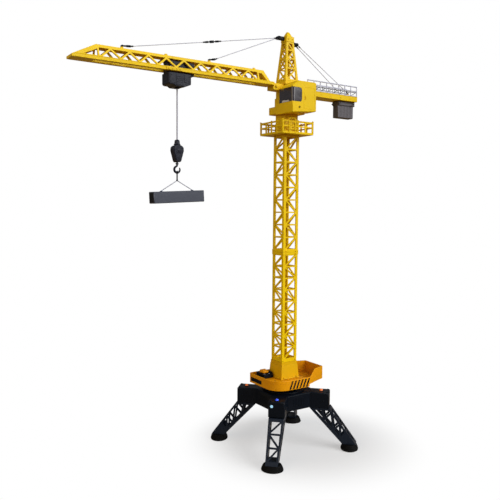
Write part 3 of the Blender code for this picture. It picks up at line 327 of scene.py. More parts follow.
MATERIALS.update({
    "black_rubber": rubber("black_rubber", (0.0022, 0.0024, 0.003)),
    "dark_glass": glazing("dark_glass", (0.031, 0.028, 0.04)),
    "amber_lens": lens("amber_lens", (0.9, 0.22, 0.04), 0.25),
    "blue_lens": lens("blue_lens", (0.015, 0.085, 0.85), 0.5),
    "pale_lens": lens("pale_lens", (0.35, 0.66, 0.9), 0.5),
    "grey_cord": wire("grey_cord", (0.42, 0.44, 0.56), 160.0),
    "tie_wire": wire("tie_wire", (0.58, 0.62, 0.8), 300.0),
})
ROUNDED, EDGE_ANGLE = 0.0007, 38  # how far edges are rounded, and from what turn in degrees
SOFTENING = {"slew_ring": 0.0002, "slew_pinion": 0.0002}  # nodes too fine for ROUNDED
SOFTENING.update({"mast_lower": 0.0004, "mast_upper": 0.0004, "cathead": 0.0004})
# The pedestal's golden look is painted shade.
OWN_LOOKS = {"pedestal": "golden_plastic"}  # nodes and pieces a shade away from the others of their slot
# The legs' lighter look is painted light.
OWN_LOOKS.update({f"leg_{place}": "leg_plastic" for place in ("front", "right", "back", "left")})
CASE_PARTS = ("trolley_frame", "trolley_panels", "hook_block", "block_cheeks", "rope_socket", "forged_hook")
OWN_LOOKS.update({name: "case_plastic" for name in CASE_PARTS})


def soften(piece, rounding):
    """Rounds the edges that turn by more than EDGE_ANGLE and keeps the flats looking flat."""
    if rounding:
        bevel = piece.modifiers.new("rounded", "BEVEL")
        bevel.width = rounding
        bevel.segments = 2
        bevel.limit_method = "ANGLE"
        bevel.angle_limit = math.radians(EDGE_ANGLE)
    normals = piece.modifiers.new("flats", "WEIGHTED_NORMAL")
    normals.keep_sharp = False


def finish_node(name, node):
    """A CAD node's own slot takes the shaded material, and its edges are rounded by modifiers."""
    for place in node.material_slots:
        base = place.material.name.split(".")[0] if place.material else ""
        place.material = MATERIALS[OWN_LOOKS.get(name, base)]
    weld = node.modifiers.new("weld", "WELD")
    weld.merge_threshold = 0.00002
    soften(node, SOFTENING.get(name, ROUNDED))
    node.data.shade_smooth()


# -------- building pieces, about the tower's axis
UP = (0, 0, 1)
SIDES = (-1, 1)
NEAR_FAR = {"near": -1, "far": 1}


def new_piece(name, bm, slot, body, rounding=0.0):
    """A finished piece: moved to the frame, shaded, and riding on its body unless body is None."""
    bmesh.ops.recalc_face_normals(bm, faces=bm.faces)
    bmesh.ops.translate(bm, verts=bm.verts, vec=(TOWER_X, 0, PAD_DEPTH))
    mesh = bpy.data.meshes.new(name)
    bm.to_mesh(mesh)
    bm.free()
    mesh.materials.append(MATERIALS[OWN_LOOKS.get(name, slot)])
    mesh.shade_smooth()
    piece = bpy.data.objects.new(name, mesh)
    bpy.context.scene.collection.objects.link(piece)
    soften(piece, rounding)
    if body:
        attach(piece, body)
    return piece


def on_turntable(name, bm, slot="yellow_plastic", rounding=0.0):
    return new_piece(name, bm, slot, "turntable", rounding)


def rectangle(left, right, low, high):
    return [(left, low), (right, low), (right, high), (left, high)]


def add_slab(bm, outline, low, high, axis="Z"):
    """A closed outline drawn across axis, from low to high along it."""
    place = {
        "X": lambda a, b, along: (along, a, b),
        "Y": lambda a, b, along: (a, along, b),
        "Z": lambda a, b, along: (a, b, along),
    }[axis]
    rings = [[bm.verts.new(place(a, b, along)) for a, b in outline] for along in (low, high)]
    bm.faces.new(rings[0])
    bm.faces.new(rings[1])
    for i in range(len(outline)):
        j = (i + 1) % len(outline)
        bm.faces.new((rings[0][i], rings[0][j], rings[1][j], rings[1][i]))


def add_box(bm, low, high):
    add_slab(bm, rectangle(low[0], high[0], low[1], high[1]), low[2], high[2])


def add_loft(bm, rings, closed=False):
    """Faces between rings of points, with caps at both ends unless the loft is closed."""
    made = [[bm.verts.new(point) for point in ring] for ring in rings]
    count = len(made[0])
    pairs = list(zip(made, made[1:])) + ([(made[-1], made[0])] if closed else [])
    for a, b in pairs:
        for i in range(count):
            j = (i + 1) % count
            bm.faces.new((a[i], a[j], b[j], b[i]))
    if not closed:
        bm.faces.new(made[0])
        bm.faces.new(made[-1])


def axes_of(direction):
    """Two unit vectors across direction."""
    direction = Vector(direction).normalized()
    helper = Vector(UP) if abs(direction.z) < 0.9 else Vector((0, 1, 0))
    across = direction.cross(helper).normalized()
    return across, direction.cross(across).normalized()


def add_turned(bm, profile, place, direction=UP, sides=16):
    """A profile of (radius, height) turned about direction from place, with flat caps at its ends."""
    across, over = axes_of(direction)
    along = Vector(direction).normalized()
    turns = [2 * math.pi * i / sides for i in range(sides)]
    rings = []
    for radius, height in profile:
        centre = Vector(place) + along * height
        rings.append([centre + radius * (across * math.cos(t) + over * math.sin(t)) for t in turns])
    add_loft(bm, rings)


def add_tube(bm, points, radius, sides=8, closed=False, lobes=0, pitch=1.0, depth=0.0):
    """A section swept along points: round, or twisted strands with lobes. Radius is a number, or a list."""
    points = [Vector(p) for p in points]
    count = len(points)
    radii = radius if isinstance(radius, list) else [radius] * count
    tangents = []
    for i in range(count):
        ahead = points[(i + 1) % count] if closed else points[min(i + 1, count - 1)]
        behind = points[i - 1] if closed or i else points[0]
        tangents.append((ahead - behind).normalized())
    across, over = axes_of(tangents[0])
    rings, travelled = [], 0.0
    for i in range(count):
        if i:
            travelled += (points[i] - points[i - 1]).length
            turn = tangents[i - 1].rotation_difference(tangents[i])
            across, over = turn @ across, turn @ over
        ring = []
        for k in range(sides):
            t = 2 * math.pi * k / sides
            groove = 0.5 - 0.5 * math.cos(lobes * (t - 2 * math.pi * travelled / pitch))
            reach = radii[i] * (1 - depth * groove)
            ring.append(points[i] + reach * (across * math.cos(t) + over * math.sin(t)))
        rings.append(ring)
    add_loft(bm, rings, closed)


def straight(start, end, step):
    """Points about a step apart, from start to end."""
    start, end = Vector(start), Vector(end)
    steps = max(1, round((end - start).length / step))
    return [start.lerp(end, i / steps) for i in range(steps + 1)]


def arc(centre, radius, start, end, steps):
    turns = [math.radians(start + (end - start) * i / steps) for i in range(steps + 1)]
    return [(centre[0] + radius * math.cos(t), centre[1] + radius * math.sin(t)) for t in turns]


def add_bolt(bm, place, direction, size):
    """A hexagon head with a chamfer on a thin washer; size is the head's radius."""
    washer = [(size * 1.32, -0.0004), (size * 1.32, size * 0.16), (size * 1.18, size * 0.26)]
    add_turned(bm, washer, place, direction, 16)
    head = [(size, size * 0.2), (size, size * 0.75), (size * 0.82, size * 0.95), (size * 0.3, size * 0.98)]
    add_turned(bm, head, place, direction, 6)


def add_screw(bm, place, direction, size):
    """A flat screw head with four raised quarters, which leave a cross between them."""
    across, over = axes_of(direction)
    along = Vector(direction).normalized()
    add_turned(bm, [(size, -0.0004), (size, size * 0.25), (size * 0.9, size * 0.42)], place, direction, 16)
    gap = size * 0.14
    quarter = [(gap, gap), (size * 0.72, gap), (size * 0.55, size * 0.55), (gap, size * 0.72)]
    for a, b in ((1, 1), (1, -1), (-1, -1), (-1, 1)):
        rings = []
        for height, share in ((0.38, 1.0), (0.66, 0.82)):
            centre = Vector(place) + along * size * height
            rings.append([centre + across * a * u * share + over * b * v * share for u, v in quarter])
        add_loft(bm, rings)


def bolts(name, places, size, slot="yellow_plastic", body="turntable", add=add_bolt):
    bm = bmesh.new()
    for place, direction in places:
        add(bm, place, direction, size)
    new_piece(name, bm, slot, body)


def turning(degrees):
    """A turn about the tower's axis."""
    return Matrix.Rotation(math.radians(degrees), 3, "Z")


def turned_about(point, degrees):
    return turning(degrees) @ Vector(point)


# -------- base
LEG_TURNS = {"front": 225, "right": 315, "back": 45, "left": 135}
HOUSING_HALF, HOUSING_HIGH = 0.078, 0.174
ARM_REACH, ARM_HALF = 0.145, 0.025
FOOT_RADIUS, BOOT_TOP, BOOT_OVAL = 0.209, 0.0195, 0.84
BOOT_PROFILE = [  # radius and height above the floor
    (0.0225, 0.0004), (0.029, 0.0), (0.0318, 0.0014), (0.0325, 0.004), (0.0321, 0.0062), (0.0306, 0.0076),
    (0.0302, 0.0086), (0.031, 0.0098), (0.0302, 0.0112), (0.0286, 0.0126), (0.0281, 0.0136),
    (0.0286, 0.015), (0.0276, 0.0166), (0.0266, BOOT_TOP - 0.003), (0.0262, BOOT_TOP - 0.0008),
    (0.025, BOOT_TOP),
]
AMBER_CAP, BLUE_CAP = (0.119, 0.0052, 0.0058), (0.132, 0.005, 0.0056)  # reach, radius, height
CAP_RIBS = 6
RIB_PITCH, RIB_HALF = 0.0062, 0.0011


def boot(name, turn):
    """A ribbed rubber boot that flares to an oval pad on the floor."""
    bm = bmesh.new()
    add_turned(bm, BOOT_PROFILE, (0, 0, -PAD_DEPTH), UP, 40)
    bmesh.ops.scale(bm, verts=bm.verts, vec=(BOOT_OVAL, 1, 1))
    bmesh.ops.translate(bm, verts=bm.verts, vec=(FOOT_RADIUS, 0, 0))
    bmesh.ops.rotate(bm, verts=bm.verts, cent=(0, 0, 0), matrix=turning(turn))
    piece = new_piece(f"boot_{name}", bm, "black_rubber", "base")
    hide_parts(f"foot_{name}")


def rising(steps):
    """Angles from level to a step below upright."""
    return [math.pi / 2 * i / steps for i in range(steps)]


def light_cap(colour, leg, size):
    """A ribbed lens on a raised bezel, in place of the plain dome."""
    reach, radius, height = size
    place = turned_about((reach, 0, HOUSING_HIGH), LEG_TURNS[leg])
    bm = bmesh.new()
    dome = [(radius * math.cos(a), height * math.sin(a)) for a in rising(7)]
    add_turned(bm, [(radius, -0.0008), *dome, (radius * 0.08, height)], place, UP, 24)
    proud = 1.01
    for k in range(CAP_RIBS):
        t = 2 * math.pi * k / CAP_RIBS
        out = Vector((math.cos(t), math.sin(t), 0)) * radius * proud
        top = Vector(UP) * height * proud
        add_tube(bm, [place + out * math.cos(a) + top * math.sin(a) for a in rising(6)], radius * 0.09, 6)
    cap = new_piece(f"{colour}_cap_{leg}", bm, f"{colour}_lens", "base")
    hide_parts(f"{colour}_light_{leg}")
    bm = bmesh.new()
    rim = ((1.45, -0.0004), (1.45, 0.0008), (1.3, 0.0014), (1.04, 0.0014), (1.04, -0.0004))
    add_turned(bm, [(radius * share, up) for share, up in rim], place, UP, 24)
    new_piece(f"{colour}_cap_{leg}_bezel", bm, "black_plastic", "base")


def housing_screws():
    """A screw on the top and on the wall of each arm, either side of its middle."""
    places = []
    for turn in LEG_TURNS.values():
        for side in SIDES:
            top, wall = (0.1385, side * 0.0185, HOUSING_HIGH), (0.1285, side * ARM_HALF, 0.15)
            places.append((turned_about(top, turn), UP))
            places.append((turned_about(wall, turn), turned_about((0, side, 0), turn)))
    bolts("housing_screws", places, 0.0026, "black_plastic", "base", add_screw)


def housing_ribs():
    """Seven upright ribs on each wall between the arms."""
    bm = bmesh.new()
    for turn in (0, 90, 180, 270):
        for i in range(-3, 4):
            before = set(bm.verts)
            outline = rectangle(i * RIB_PITCH - RIB_HALF, i * RIB_PITCH + RIB_HALF, 0.138, 0.162)
            add_slab(bm, outline, HOUSING_HALF - 0.0004, HOUSING_HALF + 0.0009, "X")
            fresh = [v for v in bm.verts if v not in before]
            bmesh.ops.rotate(bm, verts=fresh, cent=(0, 0, 0), matrix=turning(turn))
    new_piece("housing_ribs", bm, "black_plastic", "base", 0.0004)


def slewing_collar():
    bm = bmesh.new()
    ring = [(0.066, -0.0004), (0.066, 0.0022), (0.0645, 0.0034), (0.0475, 0.0034), (0.0465, 0.0026)]
    add_turned(bm, ring + [(0.0465, -0.0004)], (0, 0, HOUSING_HIGH), UP, 64)
    new_piece("slewing_collar", bm, "black_plastic", "base")


def front_lens_bezel():
    bm = bmesh.new()
    turn = LEG_TURNS["front"]
    rim = [(0.0062, -0.0004), (0.0062, 0.001), (0.0054, 0.0018), (0.0042, 0.0018), (0.004, -0.0004)]
    add_turned(bm, rim, turned_about((ARM_REACH, -0.014, 0.16), turn), turned_about((1, 0, 0), turn), 24)
    new_piece("front_lens_bezel", bm, "black_plastic", "base")


def base_pieces():
    for name, turn in LEG_TURNS.items():
        boot(name, turn)
    light_cap("amber", "left", AMBER_CAP)
    light_cap("amber", "right", AMBER_CAP)
    light_cap("blue", "front", BLUE_CAP)
    housing_screws()
    housing_ribs()
    slewing_collar()
    front_lens_bezel()


# -------- turntable tray
TRAY_LOW, DECK_TOP, TRAY_RIM, TUB_RIM = 0.19, 0.2125, 0.2185, 0.2375
TRAY_LEFT, TRAY_STEP, TUB_STEP, TRAY_RIGHT = -0.083, 0.05, 0.078, 0.123
TRAY_HALF, TUB_SHOULDER, TUB_HALF = 0.073, 0.06, 0.043
TRAY_ROUND, TRAY_CORNER = 0.046, 0.008
TUB_FLOOR = 0.2015
STRIPE_START, STRIPE_PITCH, STRIPE_LEAN, STRIPE_WIDTH = -0.0325, 0.0129, 0.01, 0.006
MOTOR_X, MOTOR_Y, MOTOR_TOP = -0.0545, 0.0275, 0.2265
COVER_X, COVER_Y, COVER_TOP = -0.059, 0.0245, 0.2353


def tray_outline(inset):
    tub = [(TRAY_STEP, -TRAY_HALF + inset), (TUB_STEP, -TUB_SHOULDER + inset)]
    tub.append((TRAY_RIGHT - inset, -TUB_HALF + inset))
    near = arc((TRAY_LEFT + TRAY_ROUND, -TRAY_HALF + TRAY_ROUND), TRAY_ROUND - inset, 180, 270, 14)
    far = arc((TRAY_LEFT + TRAY_CORNER, TRAY_HALF - TRAY_CORNER), TRAY_CORNER - inset, 90, 180, 5)
    return near + tub + [(x, -y) for x, y in reversed(tub)] + far


def rim_height(x):
    share = min(1.0, max(0.0, (x - TRAY_STEP) / (TUB_STEP - TRAY_STEP)))
    return TRAY_RIM + (TUB_RIM - TRAY_RIM) * share


def tray_beads():
    """Rolled beads along the tray's rim and round its waist."""
    bm = bmesh.new()
    add_tube(bm, [(x, y, rim_height(x) - 0.0004) for x, y in tray_outline(0.0014)], 0.0017, 8, closed=True)
    on_turntable("tray_rim_bead", bm, "orange_plastic")
    bm = bmesh.new()
    add_tube(bm, [(x, y, DECK_TOP - 0.001) for x, y in tray_outline(0.0002)], 0.0007, 6, closed=True)
    on_turntable("tray_waist_bead", bm, "orange_plastic")


def hazard_stripes():
    bm = bmesh.new()
    low, high = TRAY_LOW + 0.0015, TRAY_RIM - 0.0017
    for i in range(6):
        foot = STRIPE_START + i * STRIPE_PITCH
        head = foot + STRIPE_LEAN
        stripe = [(foot, low), (foot + STRIPE_WIDTH, low), (head + STRIPE_WIDTH, high), (head, high)]
        add_slab(bm, stripe, -TRAY_HALF - 0.0004, -TRAY_HALF + 0.0002, "Y")
    on_turntable("hazard_stripes", bm, "black_plastic")


def end_shade_grille():
    # A black plate with four slats on the tray's left end: the black plate is painted shade for the end's
    # recess, the slats are the grille.
    bm = bmesh.new()
    add_box(bm, (TRAY_LEFT + 0.0004, 0.0032, 0.1962), (TRAY_LEFT + 0.0017, 0.0618, 0.2083))
    for i in range(4):
        z = 0.1978 + i * 0.003
        add_box(bm, (TRAY_LEFT - 0.0002, 0.0045, z), (TRAY_LEFT + 0.001, 0.0605, z + 0.0012))
    on_turntable("end_shade_grille", bm, "black_plastic", 0.0003)


def tub_floor_ribs():
    bm = bmesh.new()
    thick, low = 0.0008, TUB_FLOOR - 0.0005
    for y in (-0.034, -0.017, 0.0, 0.017, 0.034):
        add_box(bm, (0.056, y - thick, low), (0.1165, y + thick, TUB_FLOOR + 0.0013))
    for x in (0.075, 0.096):
        add_box(bm, (x - thick, -0.0395, low), (x + thick, 0.0395, TUB_FLOOR + 0.001))
    on_turntable("tub_floor_ribs", bm, "orange_plastic", 0.0003)


def motor_pieces():
    """Cooling fins and screws on the slewing motor, and a ribbed disc on its gear cover."""
    bm = bmesh.new()
    for i in range(6):
        y = 0.0105 + i * 0.0068
        add_box(bm, (-0.0724, y - 0.0009, 0.2155), (-0.068, y + 0.0009, 0.2262))
        add_box(bm, (-0.04, y - 0.0009, 0.215), (-0.0366, y + 0.0009, 0.2245))
    on_turntable("motor_fins", bm, "black_plastic", 0.0003)
    spots = ((-0.0135, -0.02), (-0.0135, 0.02), (0.003, -0.0205), (0.003, 0.0205))
    places = [((MOTOR_X + dx, MOTOR_Y + dy, MOTOR_TOP), UP) for dx, dy in spots]
    bolts("motor_screws", places, 0.0016, "grey_plastic", add=add_screw)
    bm = bmesh.new()
    disc = [(0.0085, 0.0), (0.0085, 0.0008), (0.0075, 0.0012), (0.002, 0.0012)]
    add_turned(bm, disc, (COVER_X, COVER_Y, COVER_TOP), UP, 24)
    for i in range(-1, 2):
        y = COVER_Y + i * 0.007
        low, high = COVER_TOP - 0.0003, COVER_TOP + 0.0013
        add_box(bm, (COVER_X - 0.0082, y - 0.0008, low), (COVER_X + 0.0082, y + 0.0008, high))
    on_turntable("gear_cover_ribs", bm, "orange_plastic", 0.0002)


def tray_pieces():
    tray_beads()
    hazard_stripes()
    end_shade_grille()
    tub_floor_ribs()
    spots = ((-0.058, -0.034), (-0.066, 0.06), (0.04, -0.058), (0.04, 0.058))
    places = [((x, y, DECK_TOP), UP) for x, y in spots]
    bolts("deck_screws", places, 0.0028, "black_plastic", add=add_screw)
    motor_pieces()


# -------- tower
PEDESTAL_HALF, PEDESTAL_LOW = 0.0352, 0.2128
MAST_HALF, MAST_FOOT, MAST_JOINT, MAST_TOP = 0.028, 0.2675, 0.607, 0.965
GALLERY_HALF, GALLERY_FLOOR, GALLERY_RAIL = 0.0585, 0.9696, 1.003
GATE_LEFT, GATE_RIGHT, GATE_LOW, GATE_HIGH, GATE_BEND = -0.0345, -0.012, 0.968, 1.0105, 0.003
NECK_HALF, NECK_LOW = 0.0245, 0.9701
FRONT_PIN, REAR_PIN = Vector((-0.036, 0, 1.2555)), Vector((0.033, 0, 1.244))


def side_places(half, spread, height):
    """Places on the four faces of a square post, spread either side of the middle."""
    return [
        (turned_about((half, y, height), turn), turned_about((1, 0, 0), turn))
        for turn in (0, 90, 180, 270)
        for y in (-spread, spread)
    ]


def mast_bolts():
    places = []
    for height in (MAST_JOINT - 0.0038, MAST_JOINT + 0.0041):
        places += side_places(MAST_HALF + 0.0012, 0.0185, height)
    for height in (MAST_FOOT + 0.0028, MAST_TOP - 0.0028):
        places += side_places(MAST_HALF, 0.0228, height)
    bolts("mast_bolts", places, 0.0019)


def gallery_rails():
    """A tube along the top of the gallery's rails, and turned posts that end in knobs above it."""
    centre = GALLERY_HALF - 0.0015
    corners = rectangle(-centre, centre, -centre, centre)
    bm = bmesh.new()
    loop = []
    for (x0, y0), (x1, y1) in zip(corners, corners[1:] + corners[:1]):
        loop += [(x0 + (x1 - x0) * s, y0 + (y1 - y0) * s, GALLERY_RAIL - 0.0006) for s in (0.03, 0.5, 0.97)]
    add_tube(bm, loop, 0.0021, 8, closed=True)
    on_turntable("gallery_top_rail", bm)
    bm = bmesh.new()
    post = [(0.0024, -0.034), (0.0024, 0.0016), (0.003, 0.002), (0.003, 0.0032), (0.002, 0.0042)]
    post.append((0.0006, 0.0044))
    for x, y in corners:
        add_turned(bm, post, (x, y, GALLERY_RAIL), UP, 12)
    for x, y in ((0, -centre), (0, centre), (-centre, 0), (centre, 0)):
        add_turned(bm, post, (x, y, GALLERY_RAIL - 0.001), UP, 12)
    on_turntable("gallery_posts", bm)


def gallery_gate():
    bm = bmesh.new()
    y, shoulder = -GALLERY_HALF - 0.0004, GATE_HIGH - GATE_BEND
    gate = [(GATE_LEFT, y, GATE_LOW), (GATE_LEFT, y, shoulder), (GATE_LEFT + GATE_BEND, y, GATE_HIGH)]
    gate += [(GATE_RIGHT - GATE_BEND, y, GATE_HIGH), (GATE_RIGHT, y, shoulder), (GATE_RIGHT, y, GATE_LOW)]
    add_tube(bm, gate, 0.0019, 8)
    for z in (0.979, 0.989, 0.999):
        add_tube(bm, straight((GATE_LEFT + 0.0005, y, z), (GATE_RIGHT - 0.0005, y, z), 0.01), 0.0013, 8)
    on_turntable("gallery_gate", bm)


def gallery_treads():
    bm = bmesh.new()
    edge, inner, count = GALLERY_HALF - 0.004, NECK_HALF + 0.002, 9
    for i in range(count):
        y = -GALLERY_HALF + 0.006 + i * (2 * GALLERY_HALF - 0.012) / (count - 1)
        for left, right in ((-edge, -inner), (inner, edge)):
            add_box(bm, (left, y - 0.0007, GALLERY_FLOOR), (right, y + 0.0007, GALLERY_FLOOR + 0.001))
    on_turntable("gallery_treads", bm, rounding=0.0002)


def neck_door():
    face = -NECK_HALF
    left, right, low, high = -0.008, 0.016, NECK_LOW + 0.006, NECK_LOW + 0.045
    bm = bmesh.new()
    outline = rectangle(left, right, low, high)
    add_tube(bm, [(x, face + 0.0002, z) for x, z in outline], 0.0011, 6, closed=True)
    for base, top in ((low + 0.004, low + 0.0165), (low + 0.0205, high - 0.004)):
        add_box(bm, (left + 0.003, face - 0.0004, base), (right - 0.003, face + 0.0018, top))
    on_turntable("neck_door", bm, rounding=0.0003)
    bm = bmesh.new()
    bow = ((-0.0002, 0.015), (-0.0022, 0.0165), (-0.0022, 0.0225), (-0.0002, 0.024))
    add_tube(bm, [(right - 0.005, face + out, low + up) for out, up in bow], 0.0007, 8)
    on_turntable("neck_door_handle", bm, "black_plastic")


def tie_pins():
    bm = bmesh.new()
    for pin in (FRONT_PIN, REAR_PIN):
        for side in SIDES:
            add_bolt(bm, (pin.x, side * 0.0064, pin.z), (0, side, 0), 0.0024)
    on_turntable("tie_pins", bm, "black_plastic")


def tower_pieces():
    mast_bolts()
    places = side_places(PEDESTAL_HALF, 0.024, PEDESTAL_LOW + 0.0042)
    bolts("pedestal_bolts", places, 0.0019)
    gallery_rails()
    gallery_gate()
    gallery_treads()
    neck_door()
    bolts("plate_bolts", side_places(0.04, 0.033, 1.0395), 0.0019)
    places = [((x, side * 0.0146, 1.254), (0, side, 0)) for x in (-0.008, 0.008) for side in SIDES]
    bolts("head_bolts", places, 0.0017)
    tie_pins()


# -------- cab
CAB_FRONT, CAB_REAR = -0.044, 0.047
CAB_NEAR, CAB_INNER = -0.085, -0.0175
CAB_SILL, CAB_HEADER, CAB_ROOF = 1.056, 1.0975, 1.117
GLASS_ROUND, GLASS_START, GLASS_END = 0.0085, -0.0204, -0.008
DOOR_LEFT, DOOR_RIGHT, DOOR_LOW, DOOR_HIGH, DOOR_ROUND = 0.0035, 0.0345, 1.042, 1.096, 0.004
VENT = (-0.017, CAB_NEAR, 1.041)


def cab_glazing():
    """One pane bent round the cab's front corner, in place of its two windows."""
    inset, thick = 0.0003, 0.002
    centre = (CAB_FRONT + GLASS_ROUND, CAB_NEAR + GLASS_ROUND)
    outer = [(CAB_FRONT + inset, GLASS_START)]
    outer += arc(centre, GLASS_ROUND - inset, 180, 270, 10)
    outer += [(GLASS_END - inset, CAB_NEAR + inset)]
    inner = [(GLASS_END - inset, CAB_NEAR + inset + thick)]
    inner += reversed(arc(centre, GLASS_ROUND - inset - thick, 180, 270, 10))
    inner += [(CAB_FRONT + inset + thick, GLASS_START)]
    bm = bmesh.new()
    add_slab(bm, outer + inner, CAB_SILL + inset, CAB_HEADER - inset)
    glass = on_turntable("cab_glazing", bm, "dark_glass", 0.0003)
    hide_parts("cab_front_window", "cab_side_window")


def window_fillets():
    """They round the two rear corners of the side window."""
    bm = bmesh.new()
    radius, lap = 0.0085, 0.0004
    for edge, way in ((CAB_HEADER, 1), (CAB_SILL, -1)):
        centre = (GLASS_END - radius, edge - way * radius)
        corner = (GLASS_END + lap, edge + way * lap)
        outline = [(corner[0], centre[1]), corner, (centre[0], corner[1])]
        outline += reversed(arc(centre, radius, 0, 90 * way, 6))
        add_slab(bm, outline, CAB_NEAR - 0.0001, CAB_NEAR + 0.0035, "Y")
    on_turntable("window_corner_fillets", bm)


def window_ledge():
    """The pale shape low in the front window."""
    bm = bmesh.new()
    outline = [(-0.034, CAB_SILL + 0.0005), (-0.07, CAB_SILL + 0.0005), (-0.069, 1.0592)]
    rise = ((-0.064, 1.0612), (-0.056, 1.0606), (-0.045, 1.0622), (-0.038, 1.0628), (-0.0345, 1.0612))
    add_slab(bm, outline + list(rise), CAB_FRONT - 0.0002, CAB_FRONT + 0.0008, "X")
    on_turntable("window_ledge", bm, "seat_plastic", 0.0003)


def cab_door():
    """The door's seam and its bow handle."""
    near = CAB_NEAR - 0.00005
    bm = bmesh.new()
    seam = []
    corners = rectangle(DOOR_RIGHT, DOOR_LEFT, DOOR_HIGH, DOOR_LOW)  # from the upper right one
    for turn, corner in zip((0, 90, 180, 270), corners):
        seam += arc(corner, DOOR_ROUND, turn, turn + 90, 4)
    add_tube(bm, [(x, near, z) for x, z in seam], 0.00045, 6, closed=True)
    on_turntable("cab_door_seam", bm)
    bm = bmesh.new()
    bow = ((0.0003, 1.064), (-0.002, 1.0655), (-0.002, 1.0735), (0.0003, 1.075))
    add_tube(bm, [(0.004, near + out, z) for out, z in bow], 0.0008, 8)
    on_turntable("cab_door_handle", bm)


def cab_vent():
    bm = bmesh.new()
    ring = [(0.004, -0.001), (0.004, 0.0004), (0.0034, 0.0008), (0.003, 0.0008), (0.0028, -0.001)]
    add_turned(bm, ring, VENT, (0, -1, 0), 20)
    on_turntable("vent_ring", bm)
    bm = bmesh.new()
    add_turned(bm, [(0.0026, -0.0022), (0.0026, -0.0006), (0.001, -0.0002)], VENT, (0, -1, 0), 16)
    on_turntable("vent_plug", bm, "black_plastic")


def cab_back_and_roof():
    bm = bmesh.new()
    for i in range(5):
        z = 1.048 + i * 0.0058
        add_box(bm, (CAB_REAR - 0.0004, -0.07, z), (CAB_REAR + 0.0009, -0.036, z + 0.0026))
    on_turntable("rear_louvres", bm, rounding=0.0004)
    bm = bmesh.new()
    panel = rectangle(-0.0195, CAB_REAR - 0.004, CAB_NEAR + 0.003, CAB_INNER - 0.003)
    add_slab(bm, panel, CAB_ROOF - 0.0005, CAB_ROOF + 0.0012)
    on_turntable("roof_panel", bm, rounding=0.0006)


def cab_pieces():
    cab_glazing()
    window_fillets()
    window_ledge()
    cab_door()
    cab_vent()
    cab_back_and_roof()


# -------- jibs, railings and ties
JIB_LOW, JIB_LEDGE, JIB_HIGH, JIB_HALF = 1.109, 1.1176, 1.1486, 0.022
JIB_SPLIT, JIB_TIP = -0.395, -0.672
DECK_LOW, DECK_HIGH, DECK_HALF, DECK_FRONT, REAR_REACH = 1.091, 1.107, 0.026, 0.052, 0.268
RAIL_START, RAIL_END, RAIL_TOP, RAIL_BAYS = 0.0605, REAR_REACH - 0.0026, 1.1405, 8
OUTER_LUG, INNER_LUG, REAR_TIE_X = -0.5346, -0.275, 0.234
WIRE_RADIUS = 0.0011
CONNECTOR_LENGTH, CONNECTOR_SHARE = 0.044, 0.477  # its length, and how far along the long tie its middle is


def handrail(name, side):
    """Tube posts on feet, two rails and a toe strip in place of the flat railing, and slate braces."""
    y, middle = side * (DECK_HALF - 0.0016), (DECK_HIGH + RAIL_TOP) / 2
    pitch = (RAIL_END - RAIL_START) / RAIL_BAYS
    bm = bmesh.new()
    post = [(0.0025, 0.0001), (0.0025, 0.001), (0.0016, 0.0014), (0.0015, RAIL_TOP - DECK_HIGH - 0.0016)]
    for i in range(RAIL_BAYS + 1):
        add_turned(bm, post, (RAIL_START + i * pitch, y, DECK_HIGH), UP, 8)
    for z, radius in ((RAIL_TOP - 0.0018, 0.0018), (middle + 0.001, 0.0015)):
        rail = straight((RAIL_START - 0.0004, y, z), (RAIL_END + 0.0004, y, z), 0.026)
        add_tube(bm, rail, radius, 8)
    add_box(bm, (RAIL_START, y - 0.0005, DECK_HIGH + 0.0003), (RAIL_END, y + 0.0005, DECK_HIGH + 0.0036))
    piece = on_turntable(f"handrail_{name}", bm, "grey_plastic")
    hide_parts(f"railing_{name}")
    bm = bmesh.new()
    low, high, gap = DECK_HIGH + 0.003, middle - 0.003, 0.004
    add_tube(bm, straight((RAIL_START, y, high), (RAIL_END, y, high), 0.026), 0.0013, 8)
    for i in range(RAIL_BAYS):
        left, right = RAIL_START + i * pitch + gap, RAIL_START + (i + 1) * pitch - gap
        add_tube(bm, [(left, y, low), (right, y, high)], 0.001, 6)
    on_turntable(f"handrail_{name}_braces", bm, "slate_plastic")


def tie(node, start, end):
    """A taut wire with a crimped sleeve at each end, in place of the plain tie."""
    along = (end - start).normalized()
    bm = bmesh.new()
    add_tube(bm, straight(start, end, 0.0016), WIRE_RADIUS, 10, lobes=5, pitch=0.011, depth=0.22)
    wire_piece = on_turntable(f"{node}_wire", bm, "tie_wire")
    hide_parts(node)
    bm = bmesh.new()
    crimp = ((1.2, 0.0), (1.75, 0.0006), (1.75, 0.0062), (1.2, 0.0068))
    sleeve = [(WIRE_RADIUS * share, height) for share, height in crimp]
    add_turned(bm, sleeve, start + along * 0.0012, along, 10)
    add_turned(bm, sleeve, end - along * 0.008, along, 10)
    sleeves = on_turntable(f"{node}_wire_sleeves", bm, "black_plastic")


def tie_start(pin, y, far_end):
    """Where a tie's wire leaves its pin on the head, y to one side of the middle."""
    pin = Vector((pin.x, y, pin.z))
    return pin + (far_end - pin).normalized() * 0.0058


def ties():
    outer_end, inner_end = Vector((OUTER_LUG + 0.024, 0, 1.1595)), Vector((INNER_LUG + 0.019, 0, 1.1615))
    long_start = tie_start(FRONT_PIN, 0.0025, outer_end)
    short_start = tie_start(FRONT_PIN, -0.0025, inner_end)
    half = CONNECTOR_LENGTH / 2 / (outer_end - long_start).length
    above, below = (long_start.lerp(outer_end, CONNECTOR_SHARE + side * half) for side in SIDES)
    tie("front_tie_upper", long_start, above)
    tie("front_tie_outer", below, outer_end)
    tie("front_tie_inner", short_start, inner_end)
    for name, side in NEAR_FAR.items():
        foot = Vector((REAR_TIE_X, side * 0.0165, DECK_HIGH + 0.0102))
        tie(f"rear_tie_{name}", tie_start(REAR_PIN, side * 0.0045, foot), foot)


